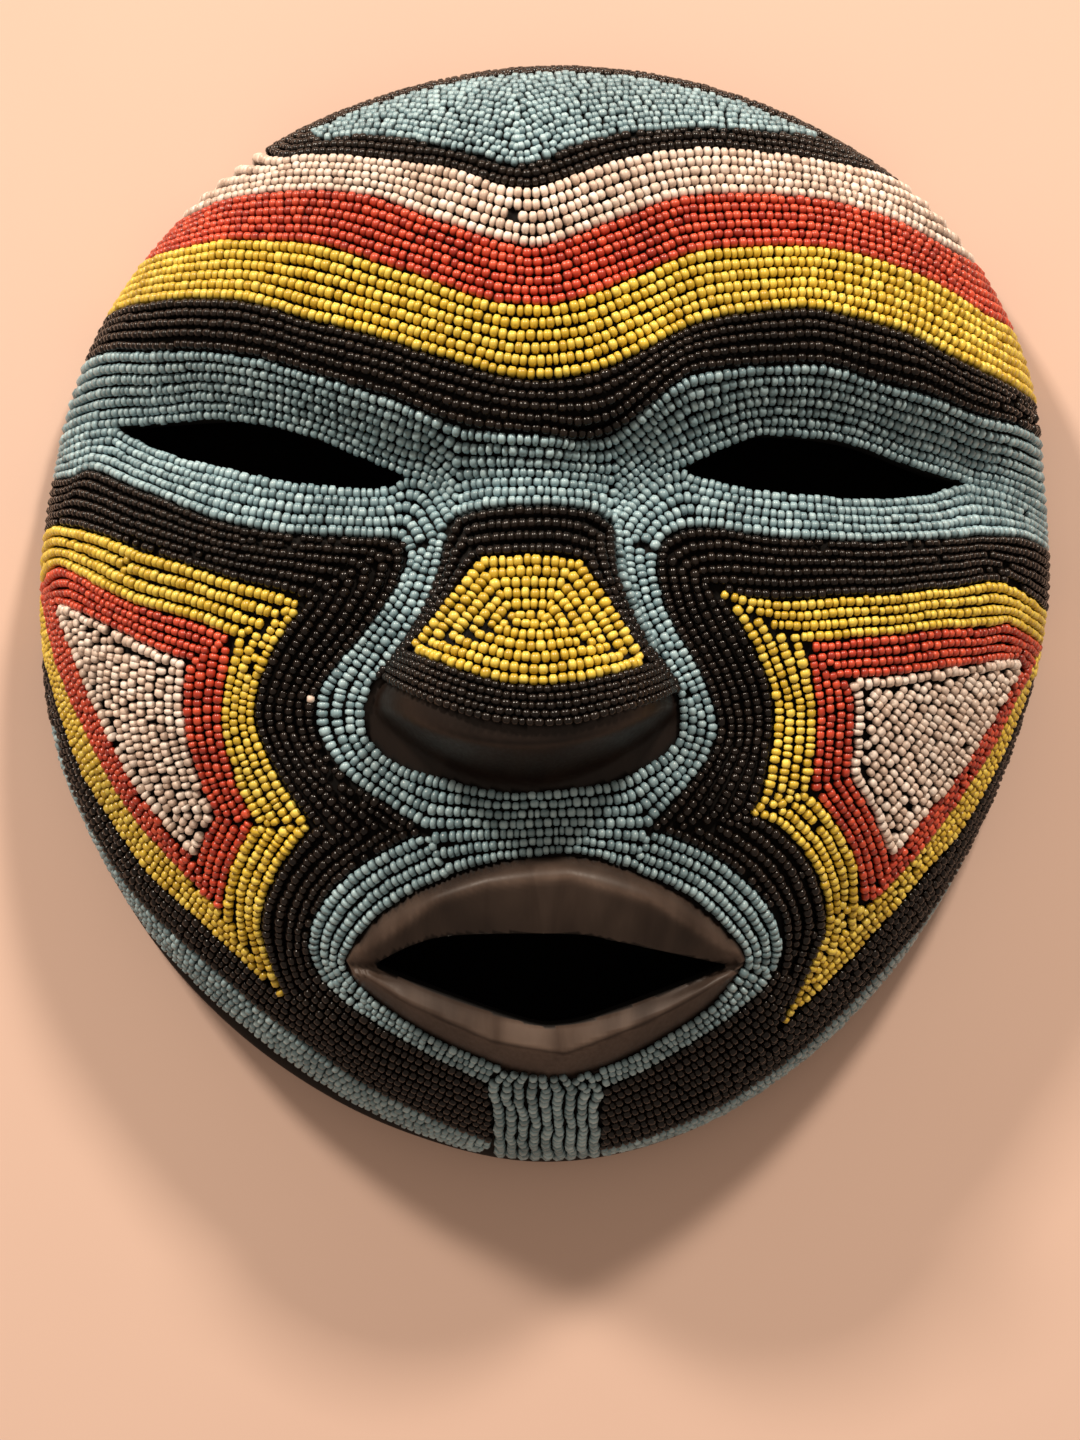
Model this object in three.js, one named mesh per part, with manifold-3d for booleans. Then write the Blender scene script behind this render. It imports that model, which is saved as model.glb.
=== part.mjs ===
import * as THREE from 'three';
import { mergeVertices } from 'three/addons/utils/BufferGeometryUtils.js';
import Module from 'manifold-3d';

// A tribal mask that lies face up on its flat rim. Millimetres; +X is the viewer's
// right, +Y the crown, +Z the way the face looks. The pattern is drawn in front view.

// driving sizes
const MASK_WIDTH = 280;        // across the cheeks, bead layer included
const MASK_LENGTH = 304;       // crown to chin
const DOME_HEIGHT = 70;        // how far the face bulges above its widest line
const RIM_HEIGHT = 7;          // widest line above the rim's flat underside
const RIM_THICK = 4;           // bare rim strip below the lowest bead row
const WALL = 9;                // thickness of the carved wood
const NOSE_HEIGHT = 29;        // nose tip above the dome
const SOCKET_DEPTH = 15;       // eye valley below the dome
const LIP_HEIGHT = 9;          // lip ridge above the muzzle
const BEAD_TOP = 2.8;          // top of the beads above the wood
const BEAD_SEAT = 1.0;         // underside of the strung bead layer above the wood
const FIELD_GAP = 0.35;        // each colour field stops this short of its border
const RIM_SHOW = 0.8;          // how far the beads' edge draws back at the lower left
const RIM_REACH = 1.5;         // how far the bare rim reaches out there
const MUZZLE_Y = -90;          // height on the face of the middle of the swell under the lips
const MUZZLE_RISE = 9;         // that swell above the dome
const CUT_LOW = -10;           // openings are cut from below the rim
const CUT_HIGH = RIM_HEIGHT + DOME_HEIGHT + NOSE_HEIGHT + 20;  // to above the nose

// mesh density
const SPOKES = 36;
const RINGS = [0, 0.09, 0.165, 0.235, 0.3, 0.38, 0.48, 0.6, 0.74, 0.87, 0.96, 1];

// the drawing below was made for a mask 280 wide and 304 long
const SX = MASK_WIDTH / 280;
const SY = MASK_LENGTH / 304;

// half-diameters of the silhouette every 15 degrees, anticlockwise from +X
const OUTLINE = [139.5, 143.9, 151.5, 155.6, 154.8, 153.5, 152.4, 151.2, 151, 149.2, 146.2, 142.3,
  140.3, 141.2, 140.9, 142.8, 145.5, 149, 152.2, 149.5, 143.5, 138.2, 134.8, 135.2];

// border lines of the forehead bands, left to right
const CROWN_V = [[-60, 128], [-50, 128.5], [-40, 127], [-20, 121], [-8, 117], [2, 119.5], [8, 123], [28, 128],
  [55, 130], [70, 130.5], [77, 130]];
const BLACK_V = [[-86, 140], [-76, 127], [-70, 123.5], [-60, 123], [-30, 117.5], [-10, 111], [2, 111.5], [20, 119],
  [45, 123.3], [70, 122], [90, 121], [99, 120], [112, 124]];
const WHITE_RED = [[-118, 112], [-102, 109], [-80, 112.5], [-50, 110], [-30, 102], [-10, 94.5], [2, 94], [30, 106],
  [40, 108.5], [50, 109.5], [70, 109.5], [90, 106.5], [110, 99], [134, 92]];
const RED_YELLOW = [[-130, 98], [-114, 97.5], [-85, 99], [-60, 95.5], [-40, 88.5], [-20, 80.5], [-3, 77.2],
  [12, 80.3], [40, 92.5], [65, 95], [80, 94.5], [100, 89.5], [120, 81], [129, 78.5], [145, 73]];
const YELLOW_BLACK = [[-142, 78], [-117, 83], [-105, 83], [-80, 80.5], [-60, 73.5], [-40, 68], [-30, 64], [-10, 58],
  [6, 57.2], [21, 62.5], [40, 72.5], [65, 77], [90, 73.5], [110, 66], [130, 60], [146, 54]];
const BLACK_BLUE = [[-146, 65], [-129, 69.5], [-120, 71], [-95, 69], [-80, 67], [-60, 61], [-40, 54], [-20, 46.5],
  [0, 44], [14, 43.8], [32, 56.5], [40, 60.5], [65, 63.7], [80, 62], [100, 57.5], [120, 52.5], [130, 51], [152, 45]];

// eye slits, and the line where upper and lower lid beads meet, left to right
const LEFT_END = [[-152, 40], [-137, 46.5], [-126, 50], [-117, 50.7]];
const LEFT_EYE_TOP = [[-117, 50.7], [-105, 51.2], [-80, 50.5], [-60, 45], [-42, 37.5], [-36, 34]];
const LEFT_EYE_LOW = [[-117, 50.7], [-110, 46], [-92, 38.5], [-60, 31.2], [-42, 31], [-36, 34]];
const LEFT_SEAM = [[-36, 34], [-30, 33], [-26, 28], [-22, 22]];
const NOSE_TOP = [[-22, 22], [-14, 24.3], [9, 24], [17, 20]];
const RIGHT_SEAM = [[17, 20], [20, 25], [29, 34], [34.5, 36]];
const RIGHT_EYE_TOP = [[34.5, 36], [50, 44], [60, 45.7], [80, 44], [100, 38], [113.5, 34.8]];
const RIGHT_EYE_LOW = [[34.5, 36], [41, 32.8], [60, 29.5], [80, 28], [100, 30], [113.5, 34.8]];
const RIGHT_END = [[113.5, 34.8], [122, 33.5], [131, 30.5], [152, 24]];

// nose: the blue beads' edge down each side and round the bare wood under the tip
const NOSE_LEFT = [[-22, 22], [-25, 17], [-28, 3], [-37, -12], [-43, -18]];
const NOSE_RIGHT = [[17, 20], [17, 6], [24, -9], [33.5, -22]];
const NOSTRIL_LEFT = [[-43, -18], [-46, -25], [-45.5, -32], [-40, -38], [-32, -42], [-14, -46.5], [-4, -47]];
const NOSTRIL_RIGHT = [[33.5, -22], [33, -34], [20, -43], [4, -46.8], [-4, -47]];
const NOSE_BAND_LOW = [[-43, -18], [-30, -24.5], [-10, -30], [8, -30], [33.5, -22]];
const NOSE_YELLOW_LEFT = [[-34, -12.5], [-24, 0], [-16, 11]];
const NOSE_YELLOW_TOP = [[-16, 11], [-4, 11.5], [9, 10]];
const NOSE_YELLOW_RIGHT = [[9, 10], [13, 3], [25, -15.3]];
const NOSE_YELLOW_LOW = [[25, -15.3], [10, -20], [-10, -20.4], [-34, -12.5]];

// outer edge of the blue band under each eye and down beside the nose
const LEFT_LID_OUT = [[-154, 34], [-139, 37.5], [-130, 37], [-124, 38], [-118, 36], [-90, 24], [-70, 18.7],
  [-48, 17], [-38, 16.8], [-35.5, 13], [-40, 2], [-57, -20], [-59.5, -28], [-58, -35], [-53, -42], [-46, -47.5],
  [-30, -57.3]];
const RIGHT_LID_OUT = [[154, 13], [130, 20], [100, 17.5], [76, 16.5], [62, 17], [40, 19.3], [32, 17.5], [28.7, 13],
  [30, 0], [42, -23], [42, -38], [26.5, -56.8]];

// mouth: lips' edge, outer edge of the bead ring, ridges of the lips and the opening
const LIP_TOP = [[-52, -92], [-47, -84], [-39, -76.5], [-20, -67.5], [0, -63.5], [16, -65.3], [35, -74], [49, -86],
  [52, -92]];
const LIP_LOW_LEFT = [[-52, -92], [-48, -99.5], [-30, -112], [-11, -120.7]];
const LIP_LOW_MIDDLE = [[-11, -120.7], [0, -123.5], [9, -122.7]];
const LIP_LOW_RIGHT = [[9, -122.7], [19, -119.3], [38, -108], [46, -101], [52, -92]];
const RING_LEFT = [[-30, -57.3], [-49, -67.5], [-60.5, -82], [-60, -94], [-49, -105.5], [-30, -117.3], [-15, -125.3]];
const RING_RIGHT = [[26.5, -56.8], [46, -66], [59.5, -80.5], [60, -96], [40, -113], [15.5, -127]];
const PHILTRUM = [[-30, -57.3], [-2, -56.5], [26.5, -56.8]];
const MOUTH_TOP = [[-45, -92.5], [-34, -86.5], [-22, -83.5], [6, -83], [20, -85.5], [48, -92.5]];
const MOUTH_LOW = [[48, -92.5], [20, -103], [5, -107.5], [-8, -106], [-45, -92.5]];
const LIP_RIDGE_TOP = [[-46, -89], [-28, -75], [-15, -70.5], [6, -68.4], [27, -75], [47, -89]];
const LIP_RIDGE_LOW = [[-46, -95], [-36, -101.5], [-14, -111.5], [5, -115], [27, -106], [47, -95]];

// chin strip and the strips along the jaw
const CHIN_LEFT = [[-15, -125.3], [-14.2, -136], [-14, -144.5]];
const CHIN_RIGHT = [[15.5, -127], [14.6, -135], [15, -147]];
const JAW_LEFT = [[-14, -144.5], [-24, -140.5], [-48, -128], [-58, -121], [-78, -106], [-96, -91], [-112, -77],
  [-120, -66.5], [-128, -52.5], [-133, -40], [-136, -30], [-150, -16]];
const JAW_RIGHT = [[15, -147], [28, -143.5], [50, -133.5], [70, -119.5], [80, -110.3], [98, -92], [106, -82.5],
  [120, -61], [124, -53], [136, -44]];

// three nested shapes on each cheek, as smooth runs between the points where the strings turn
const CHEEK_L_YELLOW = [
  [[-156, -4], [-156, 22]],
  [[-156, 22], [-140, 22.5], [-135, 24], [-128, 23], [-110, 17], [-90, 10], [-60.5, 1.2]],
  [[-60.5, 1.2], [-68, -8], [-74, -20], [-73.5, -35], [-60, -56.3]],
  [[-60, -56.3], [-70.5, -70], [-74.7, -85], [-69, -103.5]],
  [[-69, -103.5], [-92, -83], [-107, -70], [-121, -50.5], [-128, -38.5], [-141, -8], [-156, -4]]];
const CHEEK_L_RED = [
  [[-139.5, 8], [-132, 12.6], [-118, 5.7], [-110, 2], [-90, -4.2], [-80, -8]],
  [[-80, -8], [-83.5, -28], [-80.5, -44], [-75, -55]],
  [[-75, -55], [-83, -69], [-86, -80]],
  [[-86, -80], [-99, -66.5], [-113, -51], [-130.5, -19], [-138.5, 2], [-139.5, 8]]];
const CHEEK_L_WHITE = [
  [[-133.5, 3], [-126, 0.3], [-102, -10.5], [-92.5, -13.5]],
  [[-92.5, -13.5], [-94, -27], [-90.5, -44], [-86, -54]],
  [[-86, -54], [-92, -65.5]],
  [[-92, -65.5], [-98, -60], [-110, -45], [-120, -27], [-129.5, -7], [-133.5, 3]]];
const CHEEK_R_YELLOW = [
  [[156, -10], [156, -1]],
  [[156, -1], [139, 1], [122, 7.6], [104, 5], [80, 2.6], [57, 1.4], [44, 4]],
  [[44, 4], [53, -9.5], [58.7, -25], [55.5, -48], [51.5, -53.7]],
  [[51.5, -53.7], [59, -56], [70, -68], [74, -83], [72.5, -91], [62.5, -111.5]],
  [[62.5, -111.5], [84, -90.5], [98, -75], [112, -60], [123.5, -42], [132, -24], [137, -14], [156, -10]]];
const CHEEK_R_RED = [
  [[137.5, -8.5], [125, -3.6], [118, -4.2], [98, -6], [78, -8.3], [66.5, -9.5]],
  [[66.5, -9.5], [69.5, -25], [68.5, -47.5]],
  [[68.5, -47.5], [78, -59.5], [81.5, -67], [84, -79]],
  [[84, -79], [90, -74.5], [103.5, -60.5], [121.5, -36], [130.5, -19], [137.5, -8.5]]];
const CHEEK_R_WHITE = [
  [[130, -14.7], [125, -12.5], [108, -15.2], [88, -17.6], [76.5, -18.3]],
  [[76.5, -18.3], [79.5, -25], [79, -43.5]],
  [[79, -43.5], [88, -58], [91, -66]],
  [[91, -66], [109, -46], [119.5, -30.5], [130, -14.7]]];

// relief guides
const EYE_LINE = [[-150, 52], [-114, 49.5], [-74, 40.6], [-36, 33], [0, 31], [34, 35], [73, 37.5], [113, 35], [150, 33]];
const BROW_LINE = [[-150, 74], [-119, 74], [-90, 73], [-63, 67], [-37, 57], [-4, 50], [26, 58], [52, 68], [79, 68],
  [107, 60], [150, 48]];
const NOSE_HALF = [[-60, 20], [-46, 26], [-34, 36], [-24, 38], [-14, 32.5], [1, 24.5], [23, 18.5], [34, 17]];
const NOSE_RISE = [[-60, 1], [-46, 1], [-34, 1], [-24, 0.966], [-14, 0.828], [1, 0.517], [15, 0.259], [26, 0.069],
  [34, 0], [60, 0]];
const NOSE_MID = [[-60, -5], [-24, -5], [23, -2.5], [60, -2.5]];

const wasm = await Module();
wasm.setup();
const { Manifold, Mesh } = wasm;

const clamp01 = (v) => Math.min(1, Math.max(0, v));
const smooth = (a, b, v) => {
  const t = clamp01((v - a) / (b - a));
  return t * t * (3 - 2 * t);
};

// spline through uniformly numbered values
const spline = (a, b, c, d, t) =>
  0.5 * (2 * b + (c - a) * t + (2 * a - 5 * b + 4 * c - d) * t * t + (3 * b - a - 3 * c + d) * t * t * t);

// piecewise-cubic value read along a guide given as [position, value]
function guideValue(points, s) {
  const last = points.length - 1;
  if (s <= points[0][0]) return points[0][1];
  if (s >= points[last][0]) return points[last][1];
  let i = 0;
  while (points[i + 1][0] < s) i++;
  const before = points[Math.max(0, i - 1)];
  const after = points[Math.min(last, i + 2)];
  const [x0, y0] = points[i];
  const [x1, y1] = points[i + 1];
  const h = x1 - x0;
  const m0 = i > 0 ? ((y1 - before[1]) / (x1 - before[0])) * h : y1 - y0;
  const m1 = i + 2 <= last ? ((after[1] - y0) / (after[0] - x0)) * h : y1 - y0;
  const t = (s - x0) / h;
  return (2 * t ** 3 - 3 * t ** 2 + 1) * y0 + (t ** 3 - 2 * t ** 2 + t) * m0 + (3 * t ** 2 - 2 * t ** 3) * y1 + (t ** 3 - t ** 2) * m1;
}

// silhouette radius in the drawing's own size
function outlineRadius(theta) {
  const n = OUTLINE.length;
  const f = (((theta / (2 * Math.PI)) * n) % n + n) % n;
  const i = Math.floor(f);
  return spline(OUTLINE[(i + n - 1) % n], OUTLINE[i % n], OUTLINE[(i + 1) % n], OUTLINE[(i + 2) % n], f - i);
}

// 1 where the bare rim shows past the beads, 0 elsewhere
const rimShow = (theta) => Math.max(0, Math.cos(theta - (248 * Math.PI) / 180)) ** 0.8;
const woodRadius = (theta) => outlineRadius(theta) - 3 - RIM_SHOW * rimShow(theta);
const rimRadius = (theta) => outlineRadius(theta) - 1.2 + RIM_REACH * rimShow(theta);

// carved relief over the dome, without the lips; nose = 1 outside, less inside the hollow
function relief(x, y, nose) {
  const eye = guideValue(EYE_LINE, x);
  const brow = guideValue(BROW_LINE, x);
  const bridge = Math.exp(-(((x + 3) / 21) ** 2));
  const fade = y > eye ? smooth(0, 1, (y - eye) / (brow - eye)) : 1 - Math.exp(-(((y - eye) / 17) ** 2));
  const socket = SOCKET_DEPTH * (1 - fade) * (1 - 0.62 * bridge);
  const ridge = 3 * Math.exp(-(((y - brow) / 11) ** 2));
  const u = (x - guideValue(NOSE_MID, y)) / guideValue(NOSE_HALF, y);
  const sweep = Math.min(Math.abs((x + 5) / 38), 1) ** 2;
  const tip = -34 + 10 * sweep;
  const foot = tip - 12 + 7 * sweep;
  const body = clamp01(1 - Math.abs(u) ** 4) ** 0.8;
  const bump = NOSE_HEIGHT * guideValue(NOSE_RISE, y) * body * smooth(0, 1, (y - foot) / (tip - foot));
  const valley = 4 * Math.exp(-(((Math.abs(u) - 1.35) / 0.5) ** 2)) * smooth(40, 5, y) * smooth(-60, -30, y);
  const cheek = 4 * (Math.exp(-(((x - 84) / 40) ** 2) - ((y + 18) / 42) ** 2) + Math.exp(-(((x + 86) / 40) ** 2) - ((y + 18) / 42) ** 2));
  const muzzle = MUZZLE_RISE * Math.exp(-(((x - 1) / 58) ** 2) - ((y - MUZZLE_Y) / 34) ** 2);
  return -socket + ridge + nose * bump - valley + cheek + muzzle;
}

// height of the wood over the rim plane at a point of the drawing
function height(x, y, inset = 0, nose = 1) {
  const radius = woodRadius(Math.atan2(y, x)) - inset;
  const c = Math.sqrt(Math.max(0, 1 - (Math.hypot(x, y) / radius) ** 2));
  return RIM_HEIGHT + (DOME_HEIGHT - inset) * c + relief(x, y, nose) * Math.min(1, c * 1.8);
}

// length of the dome's meridian from the centre down to the point at plan angle psi
function meridian(radius, psi) {
  const steps = 24;
  let sum = 0;
  for (let i = 0; i < steps; i++) {
    const p = ((i + 0.5) * psi) / steps;
    sum += Math.hypot(radius * Math.cos(p), DOME_HEIGHT * Math.sin(p));
  }
  return (sum * psi) / steps;
}

// how far inside a drawn point, seen on the bead tops, the wood below it lies
const underBeads = (r, radius) => r - BEAD_TOP * Math.min(1, r / (radius + BEAD_TOP)) ** 3;

// lay a drawn point out flat, so that bands keep their width down the steep sides
function unfold([x, y]) {
  const theta = Math.atan2(y, x);
  const radius = woodRadius(theta);
  const r = underBeads(Math.hypot(x, y), radius);
  const a = r < radius ? meridian(radius, Math.asin(r / radius)) : meridian(radius, Math.PI / 2) + r - radius;
  return [a * Math.cos(theta), a * Math.sin(theta)];
}

// spokes and rings of the carved front, each knot with its place, flat radius and normal
const knots = [];
for (let i = 0; i < SPOKES; i++) {
  const theta = (i / SPOKES) * 2 * Math.PI;
  const radius = woodRadius(theta);
  const spoke = RINGS.map((rho) => {
    const x = radius * rho * Math.cos(theta);
    const y = radius * rho * Math.sin(theta);
    return { p: new THREE.Vector3(x, y, height(x, y)), a: meridian(radius, Math.asin(rho)) };
  });
  const edge = spoke[spoke.length - 1];
  spoke.push({ p: new THREE.Vector3(edge.p.x, edge.p.y, RIM_THICK + 0.4), a: edge.a + RIM_HEIGHT - RIM_THICK - 0.4 });
  knots.push(spoke);
}
const DEPTH = knots[0].length;
for (let i = 0; i < SPOKES; i++) {
  for (let k = 0; k < DEPTH; k++) {
    const theta = (i / SPOKES) * 2 * Math.PI;
    const next = knots[(i + 1) % SPOKES][k].p;
    const prev = knots[(i + SPOKES - 1) % SPOKES][k].p;
    const out = knots[i][Math.min(DEPTH - 1, k + 1)].p;
    const inn = knots[i][Math.max(0, k - 1)].p;
    let n;
    if (k === 0) n = new THREE.Vector3(0, 0, 1);
    else if (k >= DEPTH - 2) n = new THREE.Vector3(Math.cos(theta), Math.sin(theta), 0);
    else n = out.clone().sub(inn).cross(next.clone().sub(prev)).normalize();
    knots[i][k].n = n;
  }
}

// place a flat point back over the carved wood, w above it
function fold(u, v, w) {
  const a = Math.hypot(u, v);
  const f = ((((Math.atan2(v, u) / (2 * Math.PI)) * SPOKES) % SPOKES) + SPOKES) % SPOKES;
  const i = Math.floor(f) % SPOKES;
  const t = f - Math.floor(f);
  const A = knots[i];
  const B = knots[(i + 1) % SPOKES];
  const flat = (k) => A[k].a * (1 - t) + B[k].a * t;
  let k = 0;
  while (k < DEPTH - 2 && flat(k + 1) < a) k++;
  const s = clamp01((a - flat(k)) / (flat(k + 1) - flat(k)));
  const mix = (key) => {
    const from = A[k][key];
    const corner = B[k + 1][key];
    const side = s > t ? A[k + 1][key] : B[k][key];
    const near = side.clone().sub(from).multiplyScalar(Math.max(s, t));
    return near.add(corner.clone().sub(side).multiplyScalar(Math.min(s, t))).add(from);
  };
  const p = mix('p').addScaledVector(mix('n').normalize(), w);
  return [p.x, p.y, p.z];
}

function solid(points, faces, named = false) {
  const mesh = {
    numProp: 3,
    vertProperties: new Float32Array(points.flat()),
    triVerts: new Uint32Array(faces.flat()),
  };
  if (named) mesh.faceID = new Uint32Array(faces.map((_, i) => i));
  return new Manifold(new Mesh(mesh));
}

// closed body of rings of points between a first and a last pole
function lathe(rings, top, bottom) {
  const n = rings[0].length;
  const points = [top, ...rings.flat(), bottom];
  const faces = [];
  for (let i = 0; i < n; i++) {
    const j = (i + 1) % n;
    faces.push([0, 1 + i, 1 + j]);
    for (let k = 0; k + 1 < rings.length; k++) {
      const a = 1 + k * n;
      const b = a + n;
      faces.push([a + i, b + i, b + j], [a + i, b + j, a + j]);
    }
    const c = 1 + (rings.length - 1) * n;
    faces.push([points.length - 1, c + j, c + i]);
  }
  return [points, faces];
}

// the carved front as a solid block standing on the rim plane
function frontBlock() {
  const rings = [];
  for (let k = 1; k < DEPTH - 1; k++) rings.push(knots.map((spoke) => spoke[k].p.toArray()));
  const ring = (radiusAt, z) => knots.map((_, i) => {
    const theta = (i / SPOKES) * 2 * Math.PI;
    return [radiusAt(theta) * Math.cos(theta), radiusAt(theta) * Math.sin(theta), z];
  });
  rings.push(ring(woodRadius, RIM_THICK), ring(rimRadius, RIM_THICK - 0.8), ring(rimRadius, 0.8), ring((t) => rimRadius(t) - 0.8, 0));
  return solid(...lathe(rings, knots[0][0].p.toArray(), [0, 0, 0]));
}

// the hollow behind the face
function hollow() {
  const n = 32;
  const rhos = [0.15, 0.3, 0.45, 0.6, 0.76, 0.9, 1];
  const at = (rho, i, z) => {
    const theta = (i / n) * 2 * Math.PI;
    const r = rho * (woodRadius(theta) - WALL);
    const x = r * Math.cos(theta);
    const y = r * Math.sin(theta);
    return [x, y, z ?? height(x, y, WALL, 0.55)];
  };
  const ring = (rho, z) => Array.from({ length: n }, (_, i) => at(rho, i, z));
  return solid(...lathe([...rhos.map((r) => ring(r)), ring(1, -5)], [0, 0, height(0, 0, WALL, 0.55)], [0, 0, -5]));
}

// smooth border through its points, without the points that a straight run within 0.5 mm can do without
function border(points) {
  const thin = (line) => {
    const [x0, y0] = line[0];
    const [x1, y1] = line[line.length - 1];
    const off = line.map(([x, y]) => Math.abs((x1 - x0) * (y - y0) - (y1 - y0) * (x - x0)) / Math.hypot(x1 - x0, y1 - y0));
    const far = off.indexOf(Math.max(...off));
    if (off[far] < 0.5) return [line[0], line[line.length - 1]];
    return [...thin(line.slice(0, far + 1)).slice(0, -1), ...thin(line.slice(far))];
  };
  const curve = new THREE.SplineCurve(points.map(([x, y]) => new THREE.Vector2(x, y)));
  return thin(curve.getPoints(4 * points.length).map((p) => [p.x, p.y]));
}
const back = (line) => [...line].reverse();

// joins borders end to end into one anticlockwise outline with no doubled points
function outline(...lines) {
  const points = lines.flat().filter(([x, y], i, all) => {
    const [p, q] = all[(i + all.length - 1) % all.length];
    return Math.hypot(x - p, y - q) > 0.01;
  });
  const turn = points.reduce((sum, [x, y], i) => {
    const [p, q] = points[(i + 1) % points.length];
    return sum + x * q - p * y;
  }, 0);
  return turn > 0 ? points : back(points);
}

// the outline drawn in by d on every side
function inset(points, d) {
  const n = points.length;
  const normal = (i) => {
    const [x, y] = points[i % n];
    const [p, q] = points[(i + 1) % n];
    const l = Math.hypot(p - x, q - y);
    return [-(q - y) / l, (p - x) / l];
  };
  return points.map(([x, y], i) => {
    const [a, b] = normal(i + n - 1);
    const [c, e] = normal(i);
    const k = d / Math.max(0.35, 1 + a * c + b * e);
    return [x + (a + c) * k, y + (b + e) * k];
  });
}

function prism(points, low, high) {
  const shape = new THREE.Shape(points.map(([x, y]) => new THREE.Vector2(x, y)));
  const block = new THREE.ExtrudeGeometry(shape, { depth: high - low, bevelEnabled: false });
  block.translate(0, 0, low).deleteAttribute('normal').deleteAttribute('uv');
  const { attributes, index } = mergeVertices(block);
  return new Manifold(new Mesh({ numProp: 3, vertProperties: attributes.position.array, triVerts: new Uint32Array(index.array) }));
}

// straight interpolation of a left-to-right line
function lineAt(line, x) {
  let i = 0;
  while (i < line.length - 2 && line[i + 1][0] < x) i++;
  const [x0, y0] = line[i];
  const [x1, y1] = line[i + 1];
  return y0 + (y1 - y0) * clamp01((x - x0) / (x1 - x0));
}

// lips: a lens of wood with a ridge above and below the opening
function lips() {
  const lower = [...LIP_LOW_LEFT, ...LIP_LOW_MIDDLE, ...LIP_LOW_RIGHT];
  const sections = [-47.5, -41, -33, -22, -11, 0, 9, 19, 30, 40, 47.5].map((x) => {
    const swell = Math.sqrt(1 - (x / 53) ** 2);
    const middle = -92.5;
    const ys = [lineAt(LIP_TOP, x) - 1.3, lineAt(LIP_RIDGE_TOP, x), middle + 9 * swell, middle - 9 * swell,
      lineAt(LIP_RIDGE_LOW, x), lineAt(lower, x) + 1.5];
    const ridge = LIP_HEIGHT * (0.35 + 0.65 * swell);
    const rise = [0.6, ridge, LIP_HEIGHT * 0.7 * swell, LIP_HEIGHT * 0.3 * swell, ridge, 0.6];
    for (let k = 1; k < ys.length; k++) ys[k] = Math.min(ys[k], ys[k - 1] - 0.5);
    return [...ys.map((y, k) => [x, y, height(x, y) + rise[k]]), ...back(ys.map((y) => [x, y, height(x, y) - 6]))];
  });
  const n = sections[0].length;
  const last = (sections.length - 1) * n;
  const faces = [];
  for (let a = 0; a < last; a += n) {
    for (let k = 0; k < n; k++) {
      const j = (k + 1) % n;
      faces.push([a + k, a + j, a + n + j], [a + k, a + n + j, a + n + k]);
    }
  }
  for (let k = 0; k < n / 2 - 1; k++) {
    const [a, b, c, d] = [k, k + 1, n - 2 - k, n - 1 - k];
    faces.push([a, c, b], [a, d, c], [last + a, last + b, last + c], [last + a, last + c, last + d]);
  }
  return solid(sections.flat(), faces);
}

// the wood straight below a hole drawn between the beads
const woodUnder = ([x, y]) => {
  const r = Math.hypot(x, y);
  const k = underBeads(r, woodRadius(Math.atan2(y, x))) / r;
  return [x * k, y * k];
};
const eyeSlit = (top, low) => prism(outline(border(top), back(border(low))).map(woodUnder), CUT_LOW, CUT_HIGH);

// outlines of the colour fields, laid flat
const edge = Object.fromEntries(Object.entries({
  CROWN_V, BLACK_V, WHITE_RED, RED_YELLOW, YELLOW_BLACK, BLACK_BLUE, LEFT_END, LEFT_EYE_TOP, LEFT_EYE_LOW, LEFT_SEAM,
  NOSE_TOP, RIGHT_SEAM, RIGHT_EYE_TOP, RIGHT_EYE_LOW, RIGHT_END, NOSE_LEFT, NOSE_RIGHT, NOSTRIL_LEFT, NOSTRIL_RIGHT,
  NOSE_BAND_LOW, NOSE_YELLOW_LEFT, NOSE_YELLOW_TOP, NOSE_YELLOW_RIGHT, NOSE_YELLOW_LOW, LEFT_LID_OUT, RIGHT_LID_OUT,
  LIP_TOP, LIP_LOW_LEFT, LIP_LOW_MIDDLE, LIP_LOW_RIGHT, RING_LEFT, RING_RIGHT, PHILTRUM, CHIN_LEFT, CHIN_RIGHT,
  JAW_LEFT, JAW_RIGHT,
}).map(([name, points]) => [name, border(points)]));
const flatOutline = (...lines) => outline(...lines).map(unfold);
const cheek = (runs) => flatOutline(...runs.map(border));
const crownEdge = [62, 73, 84, 95, 106, 116].map((deg) => {
  const theta = (deg * Math.PI) / 180;
  const r = (woodRadius(theta) + BEAD_TOP) * 0.985;
  return [r * Math.cos(theta), r * Math.sin(theta)];
});
const crownBlue = flatOutline(edge.CROWN_V, crownEdge);
const [yellowL, redL, whiteL, yellowR, redR, whiteR] = [CHEEK_L_YELLOW, CHEEK_L_RED, CHEEK_L_WHITE, CHEEK_R_YELLOW,
  CHEEK_R_RED, CHEEK_R_WHITE].map(cheek);
const yellowNose = flatOutline(edge.NOSE_YELLOW_LEFT, edge.NOSE_YELLOW_TOP, edge.NOSE_YELLOW_RIGHT, edge.NOSE_YELLOW_LOW);

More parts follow.
